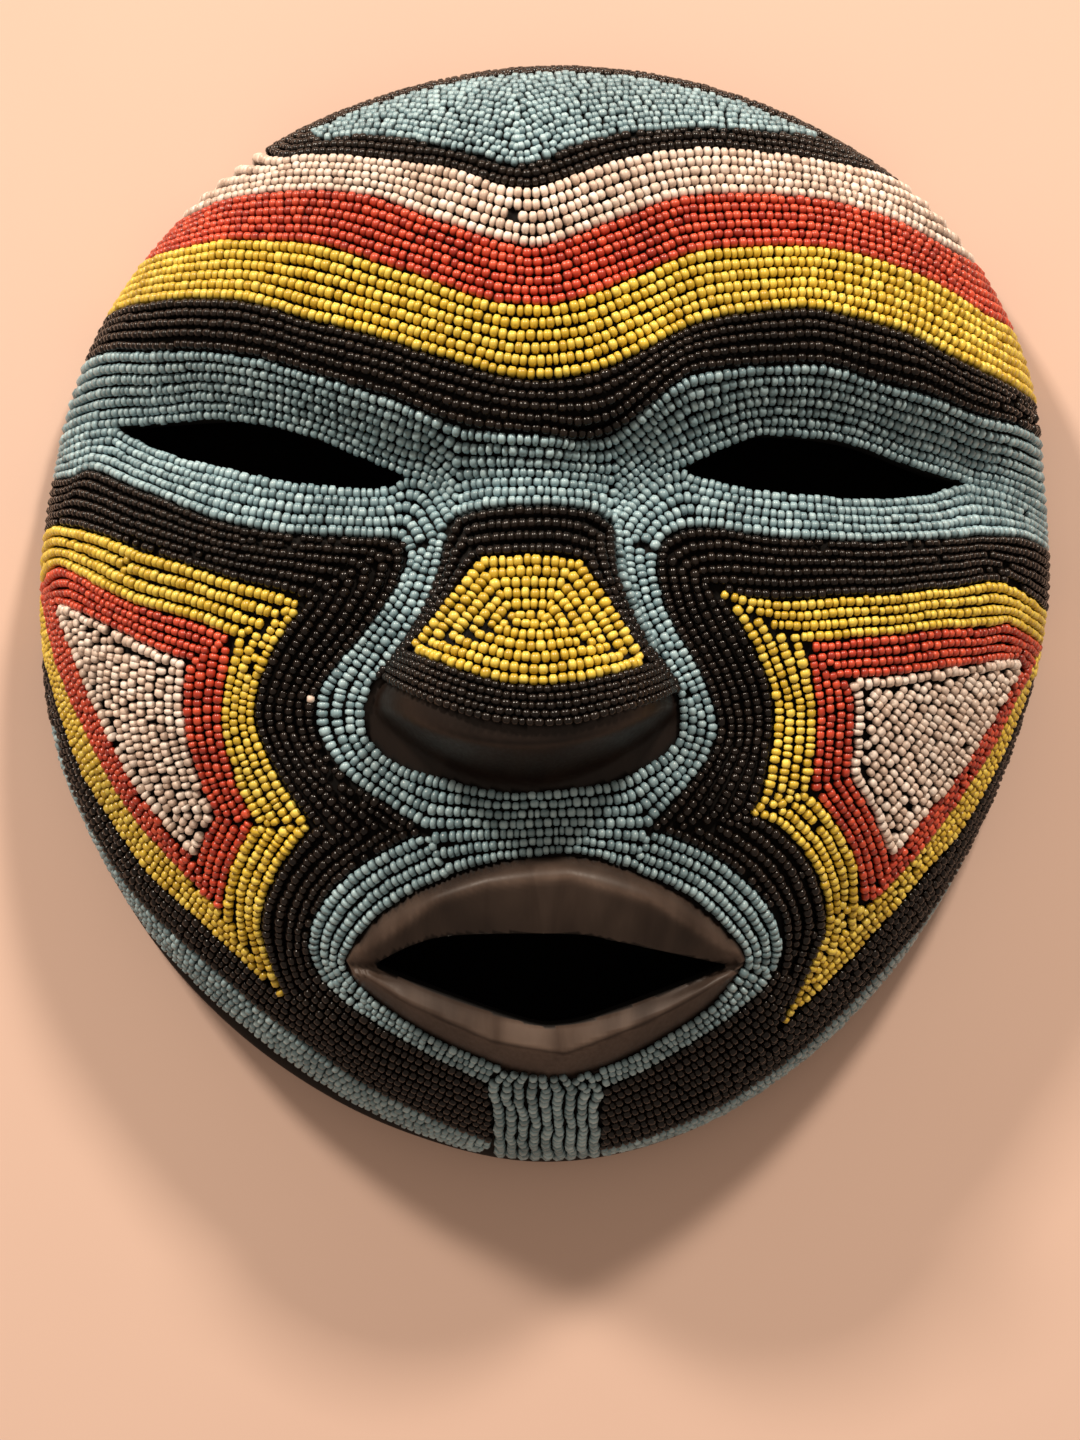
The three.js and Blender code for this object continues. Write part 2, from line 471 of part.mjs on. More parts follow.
// name, outline, and the field that lies inside it
const fields = [
  ['crown_blue_beads', crownBlue],
  ['crown_black_beads', flatOutline(edge.BLACK_V, [[112, 150], [0, 190], [-100, 160]]), crownBlue],
  ['forehead_white_beads', flatOutline(edge.BLACK_V, back(edge.WHITE_RED))],
  ['forehead_red_beads', flatOutline(edge.WHITE_RED, back(edge.RED_YELLOW))],
  ['forehead_yellow_beads', flatOutline(edge.RED_YELLOW, back(edge.YELLOW_BLACK))],
  ['forehead_black_beads', flatOutline(edge.YELLOW_BLACK, back(edge.BLACK_BLUE))],
  ['upper_lid_blue_beads', flatOutline(edge.BLACK_BLUE, back(edge.RIGHT_END), back(edge.RIGHT_EYE_TOP),
    back(edge.RIGHT_SEAM), back(edge.NOSE_TOP), back(edge.LEFT_SEAM), back(edge.LEFT_EYE_TOP), back(edge.LEFT_END))],
  ['lower_lid_blue_beads_left', flatOutline(edge.LEFT_END, edge.LEFT_EYE_LOW, edge.LEFT_SEAM, edge.NOSE_LEFT,
    edge.NOSTRIL_LEFT, [[-2, -56.5]], back(edge.LEFT_LID_OUT))],
  ['lower_lid_blue_beads_right', flatOutline(back(edge.RIGHT_END), back(edge.RIGHT_EYE_LOW), back(edge.RIGHT_SEAM),
    edge.NOSE_RIGHT, edge.NOSTRIL_RIGHT, [[-2, -56.5]], back(edge.RIGHT_LID_OUT))],
  ['nose_black_beads', flatOutline(edge.NOSE_TOP, edge.NOSE_RIGHT, back(edge.NOSE_YELLOW_RIGHT),
    back(edge.NOSE_YELLOW_TOP), back(edge.NOSE_YELLOW_LEFT), back(edge.NOSE_LEFT))],
  ['nose_yellow_beads', yellowNose],
  ['nose_band_black_beads', flatOutline(edge.NOSE_BAND_LOW, edge.NOSE_YELLOW_LOW)],
  ['mouth_ring_blue_beads', flatOutline(edge.PHILTRUM, edge.RING_RIGHT, edge.LIP_LOW_RIGHT, back(edge.LIP_TOP),
    edge.LIP_LOW_LEFT, back(edge.RING_LEFT))],
  ['chin_blue_beads', flatOutline(edge.LIP_LOW_MIDDLE, edge.CHIN_RIGHT, [[15.5, -170], [-13, -170]], back(edge.CHIN_LEFT))],
  ['jaw_blue_beads_left', flatOutline(edge.JAW_LEFT, [[-175, -40], [-130, -130], [-13, -170]])],
  ['jaw_blue_beads_right', flatOutline(edge.JAW_RIGHT, [[165, -55], [130, -130], [15.5, -170]])],
  ['cheek_black_beads_left', flatOutline(edge.LEFT_LID_OUT, edge.RING_LEFT, edge.CHIN_LEFT, edge.JAW_LEFT, [[-175, 0]]), yellowL],
  ['cheek_yellow_beads_left', yellowL, redL],
  ['cheek_red_beads_left', redL, whiteL],
  ['cheek_white_beads_left', whiteL],
  ['cheek_black_beads_right', flatOutline(edge.RIGHT_LID_OUT, edge.RING_RIGHT, edge.CHIN_RIGHT, edge.JAW_RIGHT, [[175, -30]]), yellowR],
  ['cheek_yellow_beads_right', yellowR, redR],
  ['cheek_red_beads_right', redR, whiteR],
  ['cheek_white_beads_right', whiteR],
];

// the whole bead layer laid flat, its facets the same as the wood's, 0 its seat and 1 its top
function flatSheet() {
  const points = [];
  for (const w of [0, 1]) {
    points.push([0, 0, w]);
    for (let k = 1; k < DEPTH; k++) {
      knots.forEach((spoke, i) => {
        const theta = (i / SPOKES) * 2 * Math.PI;
        points.push([spoke[k].a * Math.cos(theta), spoke[k].a * Math.sin(theta), w]);
      });
    }
  }
  const half = points.length / 2;
  const faces = [];
  const both = (a, b, c) => faces.push([a, c, b], [a + half, b + half, c + half]);
  for (let i = 0; i < SPOKES; i++) {
    const j = (i + 1) % SPOKES;
    both(0, 1 + i, 1 + j);
    for (let k = 1; k + 1 < DEPTH; k++) {
      const a = 1 + (k - 1) * SPOKES;
      const b = a + SPOKES;
      both(a + i, b + i, b + j);
      both(a + i, b + j, a + j);
    }
    const e = 1 + (DEPTH - 2) * SPOKES;
    faces.push([e + i, e + j, e + j + half], [e + i, e + j + half, e + i + half]);
  }
  return solid(points, faces, true);
}

const group = new THREE.Group();
function add(name, colour, roughness, body, place) {
  const { vertProperties, numProp, triVerts } = body.getMesh();
  const position = new Float32Array((vertProperties.length / numProp) * 3);
  for (let i = 0; i < position.length / 3; i++) {
    const [x, y, z] = place(...vertProperties.slice(i * numProp, i * numProp + 3));
    position.set([x * SX, y * SY, z], i * 3);
  }
  const geometry = new THREE.BufferGeometry();
  geometry.setAttribute('position', new THREE.BufferAttribute(position, 3));
  geometry.setIndex(new THREE.BufferAttribute(new Uint32Array(triVerts), 1));
  geometry.computeVertexNormals();
  const mesh = new THREE.Mesh(geometry, new THREE.MeshStandardMaterial({ color: colour, roughness, metalness: 0 }));
  mesh.name = name;
  group.add(mesh);
}

const wood = frontBlock()
  .add(lips())
  .subtract(hollow())
  .subtract(prism(outline(border(MOUTH_TOP), border(MOUTH_LOW)), CUT_LOW, CUT_HIGH))
  .subtract(eyeSlit(LEFT_EYE_TOP, LEFT_EYE_LOW))
  .subtract(eyeSlit(RIGHT_EYE_TOP, RIGHT_EYE_LOW));
add('wood_mask', '#2a1c15', 0.45, wood, (x, y, z) => [x, y, z]);

const COLOURS = { blue: '#6f97a0', black: '#15100f', white: '#d9bfa9', red: '#a8321f', yellow: '#d8ad2f' };
const sheet = flatSheet();
for (const [name, shape, inner] of fields) {
  let body = sheet.intersect(prism(inset(shape, FIELD_GAP), -1, 2));
  if (inner) body = body.subtract(prism(inset(inner, -FIELD_GAP), -1, 2));
  const colour = COLOURS[Object.keys(COLOURS).find((key) => name.includes(key))];
  add(name, colour, 0.3, body, (u, v, w) => fold(u, v, w > 0.5 ? BEAD_TOP : BEAD_SEAT));
}

// the origin goes to the middle of the whole mask, on the plane of the rim
const middle = new THREE.Box3().setFromObject(group).getCenter(new THREE.Vector3());
for (const { geometry } of group.children) geometry.translate(-middle.x, -middle.y, 0);

export default group;
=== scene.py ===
import math

import bpy
import numpy as np
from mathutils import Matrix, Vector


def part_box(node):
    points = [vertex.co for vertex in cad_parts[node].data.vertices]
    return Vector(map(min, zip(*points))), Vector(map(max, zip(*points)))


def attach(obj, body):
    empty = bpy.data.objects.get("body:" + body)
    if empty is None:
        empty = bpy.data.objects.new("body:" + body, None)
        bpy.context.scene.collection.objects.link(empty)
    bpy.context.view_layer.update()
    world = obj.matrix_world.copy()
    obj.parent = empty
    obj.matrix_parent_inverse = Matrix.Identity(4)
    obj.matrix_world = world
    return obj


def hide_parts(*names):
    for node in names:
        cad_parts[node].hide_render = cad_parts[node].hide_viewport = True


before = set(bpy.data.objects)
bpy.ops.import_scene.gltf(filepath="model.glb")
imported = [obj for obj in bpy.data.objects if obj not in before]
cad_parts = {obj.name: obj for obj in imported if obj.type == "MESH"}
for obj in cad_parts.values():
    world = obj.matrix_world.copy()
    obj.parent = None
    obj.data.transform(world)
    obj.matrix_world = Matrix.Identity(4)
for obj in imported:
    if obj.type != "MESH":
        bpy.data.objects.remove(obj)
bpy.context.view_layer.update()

# A beaded tribal mask lying face up: a carved wooden face, strung glass beads over all of it but
# the lips and the underside of the nose. Shapes are worked out in millimetres of the front view
# (+X viewer's right, +Y crown, +Z out of the face) and put into the meshes in metres.

# sizes, the same as the solids'
DOME_HEIGHT = 70.0
RIM_HEIGHT = 7.0
RIM_THICK = 4.0
WALL = 9.0
NOSE_HEIGHT = 29.0
SOCKET_DEPTH = 15.0
LIP_HEIGHT = 9.0
BEAD_TOP = 2.8
RIM_SHOW = 0.8
RIM_REACH = 1.5
CUT_LOW, CUT_HIGH = -12.0, 130.0   # the openings are cut from below the rim to above the nose
BARE_TURN = 248          # angle at which the bare rim shows most, degrees
EDGE_BEADS = 3           # the beads' layer at the silhouette
RIM_INSET = 1.2          # the rim lies this far inside the silhouette

# relief over the dome: how far each form rises or sinks, where its middle is, how far it spreads
BRIDGE_X, BRIDGE_WIDE, BRIDGE_SHARE = -3, 21, 0.62   # the eye valley is shallower at the bridge
VALLEY_WIDE = 17
BROW_RISE, BROW_WIDE = 3, 11
TIP_X, TIP_WIDE, TIP_Y, TIP_SWEEP = -5, 38, -34, 10
FOOT_DROP, FOOT_SWEEP = 12, 7
SIDE_DEPTH, SIDE_MIDDLE, SIDE_WIDE = 4, 1.35, 0.5    # hollow beside the nose, in halves of its width
CHEEK_RISE, CHEEK_LEFT, CHEEK_RIGHT, CHEEK_WIDE, CHEEK_Y, CHEEK_LONG = 4, -86, 84, 40, -18, 42
MUZZLE_RISE, MUZZLE_X, MUZZLE_WIDE, MUZZLE_Y, MUZZLE_LONG = 9, 1, 58, -90, 34
LIP_HALF = 53            # half the width that the lips' swell is spread over
LIP_INNER_TOP, LIP_INNER_LOW = 0.72, 0.30            # lips' height at the opening, as a share
HOLLOW_NOSE = 0.55       # how much of the nose the hollow follows
RELIEF_FADE, LIP_FADE = 1.8, 3   # how soon the carving comes up from the steep edge
MOUTH_CROWD = 0.4        # how much closer the wood's spokes lie towards the mouth, radians

BEAD_WIDTH = 2.66        # across a bead
BEAD_ROOM = 0.95         # share of the room to the next string that a bead takes
GLASS_SPREAD = 0.13      # spread of the beads' lengths about the step
GLASS_RANGE = 0.66, 1.34   # shortest and longest bead, as a share of the step
LOOK = 0.9               # a bead's direction is read this far before and after it
FINE = 0.8               # a border's points lie this far apart
WAVER = 0.13             # how far strings laid by hand waver
CELL = 0.5               # grid on which gaps between beads are looked for
FILL_LENGTH, FILL_WIDTH = 2.1, 2.3    # the odd beads pushed into such gaps
WIDTH_SPREAD, TILT_SPREAD, HEIGHT_SPREAD = 0.035, 0.035, 0.07   # from bead to bead
WIDTH_SHARES = 0.9, 1.08   # thinnest and thickest bead, as a share of its room
FAR = 99                 # stands for a distance that doesn't count
BATCH = 800              # points measured at a time
BEAD_RANGE = 2.25, 3.2   # smallest and largest bead
ROW = 2.95               # from one string to the next
SHORT_STEP = 2.0         # along a string, bead to bead
MID_STEP = 2.15
LONG_STEP = 2.3
LAST_ROW = 1.2           # the lowest string lies this far down the wall

OUTLINE = [139.5, 143.9, 151.5, 155.6, 154.8, 153.5, 152.4, 151.2, 151, 149.2, 146.2, 142.3,
           140.3, 141.2, 140.9, 142.8, 145.5, 149, 152.2, 149.5, 143.5, 138.2, 134.8, 135.2]

# borders of the forehead bands, left to right
CROWN_V = [[-60, 128], [-50, 128.5], [-40, 127], [-20, 121], [-8, 117], [2, 119.5], [8, 123],
           [28, 128], [55, 130], [70, 130.5], [77, 130]]
BLACK_V = [[-86, 140], [-76, 127], [-70, 123.5], [-60, 123], [-30, 117.5], [-10, 111], [2, 111.5],
           [20, 119], [45, 123.3], [70, 122], [90, 121], [99, 120], [112, 124]]
WHITE_RED = [[-118, 112], [-102, 109], [-80, 112.5], [-50, 110], [-30, 102], [-10, 94.5], [2, 94],
             [30, 106], [40, 108.5], [50, 109.5], [70, 109.5], [90, 106.5], [110, 99], [134, 92]]
RED_YELLOW = [[-130, 98], [-114, 97.5], [-85, 99], [-60, 95.5], [-40, 88.5], [-20, 80.5],
              [-3, 77.2], [12, 80.3], [40, 92.5], [65, 95], [80, 94.5], [100, 89.5], [120, 81],
              [129, 78.5], [145, 73]]
YELLOW_BLACK = [[-142, 78], [-117, 83], [-105, 83], [-80, 80.5], [-60, 73.5], [-40, 68], [-30, 64],
                [-10, 58], [6, 57.2], [21, 62.5], [40, 72.5], [65, 77], [90, 73.5], [110, 66],
                [130, 60], [146, 54]]
BLACK_BLUE = [[-146, 65], [-129, 69.5], [-120, 71], [-95, 69], [-80, 67], [-60, 61], [-40, 54],
              [-20, 46.5], [0, 44], [14, 43.8], [32, 56.5], [40, 60.5], [65, 63.7], [80, 62],
              [100, 57.5], [120, 52.5], [130, 51], [152, 45]]

# eye slits and the seams where the lids' beads meet, left to right
LEFT_END = [[-152, 40], [-137, 46.5], [-126, 50], [-117, 50.7]]
LEFT_EYE_TOP = [[-117, 50.7], [-105, 51.2], [-80, 50.5], [-60, 45], [-42, 37.5], [-36, 34]]
LEFT_EYE_LOW = [[-117, 50.7], [-110, 46], [-92, 38.5], [-60, 31.2], [-42, 31], [-36, 34]]
LEFT_SEAM = [[-36, 34], [-30, 33], [-26, 28], [-22, 22]]
NOSE_TOP = [[-22, 22], [-14, 24.3], [9, 24], [17, 20]]
RIGHT_SEAM = [[17, 20], [20, 25], [29, 34], [34.5, 36]]
RIGHT_EYE_TOP = [[34.5, 36], [50, 44], [60, 45.7], [80, 44], [100, 38], [113.5, 34.8]]
RIGHT_EYE_LOW = [[34.5, 36], [41, 32.8], [60, 29.5], [80, 28], [100, 30], [113.5, 34.8]]
RIGHT_END = [[113.5, 34.8], [122, 33.5], [131, 30.5], [152, 24]]

# nose
NOSE_LEFT = [[-22, 22], [-25, 17], [-28, 3], [-37, -12], [-43, -18]]
NOSE_RIGHT = [[17, 20], [17, 6], [24, -9], [33.5, -22]]
NOSTRIL_LEFT = [[-43, -18], [-46, -25], [-45.5, -32], [-40, -38], [-32, -42], [-14, -46.5], [-4, -47]]
NOSTRIL_RIGHT = [[33.5, -22], [33, -34], [20, -43], [4, -46.8], [-4, -47]]
NOSE_BAND_LOW = [[-43, -18], [-30, -24.5], [-10, -30], [8, -30], [33.5, -22]]
NOSE_YELLOW_LEFT = [[-34, -12.5], [-24, 0], [-16, 11]]
NOSE_YELLOW_TOP = [[-16, 11], [-4, 11.5], [9, 10]]
NOSE_YELLOW_RIGHT = [[9, 10], [13, 3], [25, -15.3]]
NOSE_YELLOW_LOW = [[25, -15.3], [10, -20], [-10, -20.4], [-34, -12.5]]

# outer edge of the blue beads under each eye and beside the nose
LEFT_LID_OUT = [[-154, 34], [-139, 37.5], [-130, 37], [-124, 38], [-118, 36], [-90, 24], [-70, 18.7],
                [-48, 17], [-38, 16.8], [-35.5, 13], [-40, 2], [-57, -20], [-59.5, -28], [-58, -35],
                [-53, -42], [-46, -47.5], [-30, -57.3]]
RIGHT_LID_OUT = [[154, 13], [130, 20], [100, 17.5], [76, 16.5], [62, 17], [40, 19.3], [32, 17.5],
                 [28.7, 13], [30, 0], [42, -23], [42, -38], [26.5, -56.8]]
LEFT_LID_CORNER = 10
RIGHT_LID_CORNER = 8

# mouth
LIP_TOP = [[-52, -92], [-47, -84], [-39, -76.5], [-20, -67.5], [0, -63.5], [16, -65.3], [35, -74],
           [49, -86], [52, -92]]
LIP_LOW_LEFT = [[-52, -92], [-48, -99.5], [-30, -112], [-11, -120.7]]
LIP_LOW_MIDDLE = [[-11, -120.7], [0, -123.5], [9, -122.7]]
LIP_LOW_RIGHT = [[9, -122.7], [19, -119.3], [38, -108], [46, -101], [52, -92]]
RING_LEFT = [[-30, -57.3], [-49, -67.5], [-60.5, -82], [-60, -94], [-49, -105.5], [-30, -117.3],
             [-15, -125.3]]
RING_RIGHT = [[26.5, -56.8], [46, -66], [59.5, -80.5], [60, -96], [40, -113], [15.5, -127]]
PHILTRUM = [[-30, -57.3], [-2, -56.5], [26.5, -56.8]]
MOUTH_TOP = [[-45, -92.5], [-34, -86.5], [-22, -83.5], [6, -83], [20, -85.5], [48, -92.5]]
MOUTH_LOW = [[-45, -92.5], [-8, -106], [5, -107.5], [20, -103], [48, -92.5]]
LIP_RIDGE_TOP = [[-46, -89], [-28, -75], [-15, -70.5], [6, -68.4], [27, -75], [47, -89]]
LIP_RIDGE_LOW = [[-46, -95], [-36, -101.5], [-14, -111.5], [5, -115], [27, -106], [47, -95]]

# chin strip and the strips along the jaw
CHIN_LEFT = [[-15, -125.3], [-14.2, -136], [-14, -144.5]]
CHIN_RIGHT = [[15.5, -127], [14.6, -135], [15, -147]]
JAW_LEFT = [[-14, -144.5], [-24, -140.5], [-48, -128], [-58, -121], [-78, -106], [-96, -91],
            [-112, -77], [-120, -66.5], [-128, -52.5], [-133, -40], [-136, -30], [-150, -16]]
JAW_RIGHT = [[15, -147], [28, -143.5], [50, -133.5], [70, -119.5], [80, -110.3], [98, -92],
             [106, -82.5], [120, -61], [124, -53], [136, -44]]

# three nested shapes on each cheek, as smooth runs between the points where the strings turn
CHEEK_L_YELLOW = [
    [[-156, -4], [-156, 22]],
    [[-156, 22], [-140, 22.5], [-135, 24], [-128, 23], [-110, 17], [-90, 10], [-60.5, 1.2]],
    [[-60.5, 1.2], [-68, -8], [-74, -20], [-73.5, -35], [-60, -56.3]],
    [[-60, -56.3], [-70.5, -70], [-74.7, -85], [-69, -103.5]],
    [[-69, -103.5], [-92, -83], [-107, -70], [-121, -50.5], [-128, -38.5], [-141, -8], [-156, -4]]]
CHEEK_L_RED = [
    [[-139.5, 8], [-132, 12.6], [-118, 5.7], [-110, 2], [-90, -4.2], [-80, -8]],
    [[-80, -8], [-83.5, -28], [-80.5, -44], [-75, -55]],
    [[-75, -55], [-83, -69], [-86, -80]],
    [[-86, -80], [-99, -66.5], [-113, -51], [-130.5, -19], [-138.5, 2], [-139.5, 8]]]
CHEEK_L_WHITE = [
    [[-133.5, 3], [-126, 0.3], [-102, -10.5], [-92.5, -13.5]],
    [[-92.5, -13.5], [-94, -27], [-90.5, -44], [-86, -54]],
    [[-86, -54], [-92, -65.5]],
    [[-92, -65.5], [-98, -60], [-110, -45], [-120, -27], [-129.5, -7], [-133.5, 3]]]
CHEEK_R_YELLOW = [
    [[156, -10], [156, -1]],
    [[156, -1], [139, 1], [122, 7.6], [104, 5], [80, 2.6], [57, 1.4], [44, 4]],
    [[44, 4], [53, -9.5], [58.7, -25], [55.5, -48], [51.5, -53.7]],
    [[51.5, -53.7], [59, -56], [70, -68], [74, -83], [72.5, -91], [62.5, -111.5]],
    [[62.5, -111.5], [84, -90.5], [98, -75], [112, -60], [123.5, -42], [132, -24], [137, -14],
     [156, -10]]]
CHEEK_R_RED = [
    [[137.5, -8.5], [125, -3.6], [118, -4.2], [98, -6], [78, -8.3], [66.5, -9.5]],
    [[66.5, -9.5], [69.5, -25], [68.5, -47.5]],
    [[68.5, -47.5], [78, -59.5], [81.5, -67], [84, -79]],
    [[84, -79], [90, -74.5], [103.5, -60.5], [121.5, -36], [130.5, -19], [137.5, -8.5]]]
CHEEK_R_WHITE = [
    [[130, -14.7], [125, -12.5], [108, -15.2], [88, -17.6], [76.5, -18.3]],
    [[76.5, -18.3], [79.5, -25], [79, -43.5]],
    [[79, -43.5], [88, -58], [91, -66]],
    [[91, -66], [109, -46], [119.5, -30.5], [130, -14.7]]]

# relief guides
EYE_LINE = [[-150, 52], [-114, 49.5], [-74, 40.6], [-36, 33], [0, 31], [34, 35], [73, 37.5],
            [113, 35], [150, 33]]
BROW_LINE = [[-150, 74], [-119, 74], [-90, 73], [-63, 67], [-37, 57], [-4, 50], [26, 58], [52, 68],
             [79, 68], [107, 60], [150, 48]]
NOSE_HALF = [[-60, 20], [-46, 26], [-34, 36], [-24, 38], [-14, 32.5], [1, 24.5], [23, 18.5], [34, 17]]
NOSE_RISE = [[-60, 1], [-46, 1], [-34, 1], [-24, 0.966], [-14, 0.828], [1, 0.517], [15, 0.259],
             [26, 0.069], [34, 0], [60, 0]]
NOSE_MID = [[-60, -5], [-24, -5], [23, -2.5], [60, -2.5]]


def guide(points, s):
    """Value along a guide of [position, value] points: between two points a cubic whose end slopes
    are those of the lines between their neighbours; constant beyond the ends."""
    x, y = np.array(points, float).T
    slope = np.empty(len(x))
    slope[1:-1] = (y[2:] - y[:-2]) / (x[2:] - x[:-2])
    slope[0] = (y[1] - y[0]) / (x[1] - x[0])
    slope[-1] = (y[-1] - y[-2]) / (x[-1] - x[-2])
    s = np.clip(s, x[0], x[-1])
    i = np.clip(np.searchsorted(x, s, "right") - 1, 0, len(x) - 2)
    h = x[i + 1] - x[i]
    t = (s - x[i]) / h
    return ((2 * t**3 - 3 * t**2 + 1) * y[i] + (t**3 - 2 * t**2 + t) * h * slope[i]
            + (3 * t**2 - 2 * t**3) * y[i + 1] + (t**3 - t**2) * h * slope[i + 1])


def ease(v):
    """Smooth step: 0 below 0, 1 above 1, 3v^2 - 2v^3 between."""
    t = np.clip(v, 0, 1)
    return t * t * (3 - 2 * t)


def spline(a, b, c, d, t):
    """Uniform cubic spline from b to c, with a and d as the neighbours before and after them."""
    return 0.5 * (2 * b + (c - a) * t + (2 * a - 5 * b + 4 * c - d) * t**2 + (3 * b - a - 3 * c + d) * t**3)


def outline_radius(theta):
    """Silhouette radius at an angle: a spline through radii given every 15 degrees."""
    r = np.array(OUTLINE, float)
    n = len(r)
    f = (theta / (2 * math.pi) * n) % n
    i = np.floor(f).astype(int)
    return spline(r[(i - 1) % n], r[i % n], r[(i + 1) % n], r[(i + 2) % n], f - i)


def rim_show(theta):
    """1 at the lower left, where the bare rim shows past the beads, falling to 0 a quarter turn off."""
    return np.maximum(0, np.cos(theta - math.radians(BARE_TURN))) ** 0.8


def wood_radius(theta):
    """Radius of the carved wood: the silhouette less the bead layer and the bare rim."""
    return outline_radius(theta) - EDGE_BEADS - RIM_SHOW * rim_show(theta)


def rim_radius(theta):
    """Outer radius of the flat rim that the mask lies on."""
    return outline_radius(theta) - RIM_INSET + RIM_REACH * rim_show(theta)


def hump(v, middle, wide):
    """Bell over v: exp(-((v - middle) / wide)^2)."""
    return np.exp(-(((v - middle) / wide) ** 2))


def relief(x, y, nose=1.0):
    """Carving over the dome: an eye valley and brow ridge along their guide lines, a nose of
    width and rise given down its length, side valleys, two cheek swells and a muzzle swell."""
    eye = guide(EYE_LINE, x)
    brow = guide(BROW_LINE, x)
    fade = np.where(y > eye, ease((y - eye) / (brow - eye)), 1 - hump(y, eye, VALLEY_WIDE))
    socket = SOCKET_DEPTH * (1 - fade) * (1 - BRIDGE_SHARE * hump(x, BRIDGE_X, BRIDGE_WIDE))
    ridge = BROW_RISE * hump(y, brow, BROW_WIDE)
    u = (x - guide(NOSE_MID, y)) / guide(NOSE_HALF, y)
    sweep = np.minimum(np.abs((x - TIP_X) / TIP_WIDE), 1) ** 2
    tip = TIP_Y + TIP_SWEEP * sweep
    foot = tip - FOOT_DROP + FOOT_SWEEP * sweep
    body = np.clip(1 - np.abs(u) ** 4, 0, 1) ** 0.8
    bump = NOSE_HEIGHT * guide(NOSE_RISE, y) * body * ease((y - foot) / (tip - foot))
    side = SIDE_DEPTH * hump(np.abs(u), SIDE_MIDDLE, SIDE_WIDE) * ease((y - 40) / -35) * ease((y + 60) / 30)

    def swell(middle_x, wide, middle_y, long):
        return np.exp(-(((x - middle_x) / wide) ** 2) - ((y - middle_y) / long) ** 2)

    cheek = CHEEK_RISE * (swell(CHEEK_RIGHT, CHEEK_WIDE, CHEEK_Y, CHEEK_LONG)
                          + swell(CHEEK_LEFT, CHEEK_WIDE, CHEEK_Y, CHEEK_LONG))
    muzzle = MUZZLE_RISE * swell(MUZZLE_X, MUZZLE_WIDE, MUZZLE_Y, MUZZLE_LONG)
    return -socket + ridge + nose * bump - side + cheek + muzzle


def dome_point(theta, psi, inset=0.0, nose=1.0):
    """Point of the carved face: an ellipsoid at meridian angle psi, plus the relief, which fades
    out over the last steep part near the rim."""
    r = (wood_radius(theta) - inset) * np.sin(psi)
    x, y = r * np.cos(theta), r * np.sin(theta)
    c = np.cos(psi)
    z = RIM_HEIGHT + (DOME_HEIGHT - inset) * c + relief(x, y, nose) * np.minimum(1, c * RELIEF_FADE)
    return x, y, z


# lengths of the dome's meridians: one row per radius, one column per meridian angle
RADII = np.linspace(115, 165, 101)
ANGLES = np.linspace(0, math.pi / 2, 401)
_pace = np.hypot(RADII[:, None] * np.cos(ANGLES), DOME_HEIGHT * np.sin(ANGLES))
ARC = np.zeros_like(_pace)
ARC[:, 1:] = np.cumsum((_pace[:, 1:] + _pace[:, :-1]) / 2 * (ANGLES[1] - ANGLES[0]), axis=1)
SHARE = np.linspace(0, 1, 401)
ANGLE_AT = np.array([np.interp(SHARE * row[-1], row, ANGLES) for row in ARC])


def table(grid, row, column):
    """Bilinear reading of a table at fractional row and column numbers."""
    row = np.clip(row, 0, grid.shape[0] - 1.001)
    column = np.clip(column, 0, grid.shape[1] - 1.001)
    i, j = row.astype(int), column.astype(int)
    s, t = row - i, column - j
    return ((grid[i, j] * (1 - t) + grid[i, j + 1] * t) * (1 - s)
            + (grid[i + 1, j] * (1 - t) + grid[i + 1, j + 1] * t) * s)


def radius_row(radius):
    """Row of a radius in the tables, with its fraction."""
    return (radius - RADII[0]) / (RADII[1] - RADII[0])


def half_arc(radius):
    """Length of a meridian from the middle of the face to the widest line."""
    return np.interp(radius, RADII, ARC[:, -1])


def polar(radius, turn):
    """Points at a radius and an angle about the middle of the drawing."""
    return np.stack([radius * np.cos(turn), radius * np.sin(turn)], -1)


def unfold(points):
    """Front-view points laid out flat: the radius, less what the beads stand out at that slope,
    becomes the length of the dome's meridian, and past the widest line the way down the wall."""
    x, y = np.asarray(points, float).T
    theta = np.arctan2(y, x)
    radius = wood_radius(theta)
    r = np.hypot(x, y)
    r = r - BEAD_TOP * np.minimum(1, r / (radius + BEAD_TOP)) ** 3
    psi = np.arcsin(np.clip(r / radius, 0, 1))
    a = table(ARC, radius_row(radius), psi / (ANGLES[1] - ANGLES[0])) + np.maximum(0, r - radius)
    return polar(a, theta)


def fold(flat, lift=0.0):
    """Flat points put back over the carved wood, lift above it along its normal. The normal is the
    cross product of the differences over 0.2 mm along both flat directions."""
    def ground(u, v):
        theta = np.arctan2(v, u)
        a = np.hypot(u, v)
        radius = wood_radius(theta)
        whole = half_arc(radius)
        share = np.clip(a / whole, 0, 1)
        psi = table(ANGLE_AT, radius_row(radius), share / (SHARE[1] - SHARE[0]))
        x, y, z = dome_point(theta, psi)
        return np.stack([x, y, z - np.maximum(0, a - whole)], 1)

    u, v = flat.T
    e = 0.2
    normal = np.cross(ground(u + e, v) - ground(u - e, v), ground(u, v + e) - ground(u, v - e))
    normal /= np.linalg.norm(normal, axis=1)[:, None]
    return ground(u, v) + lift * normal, normal


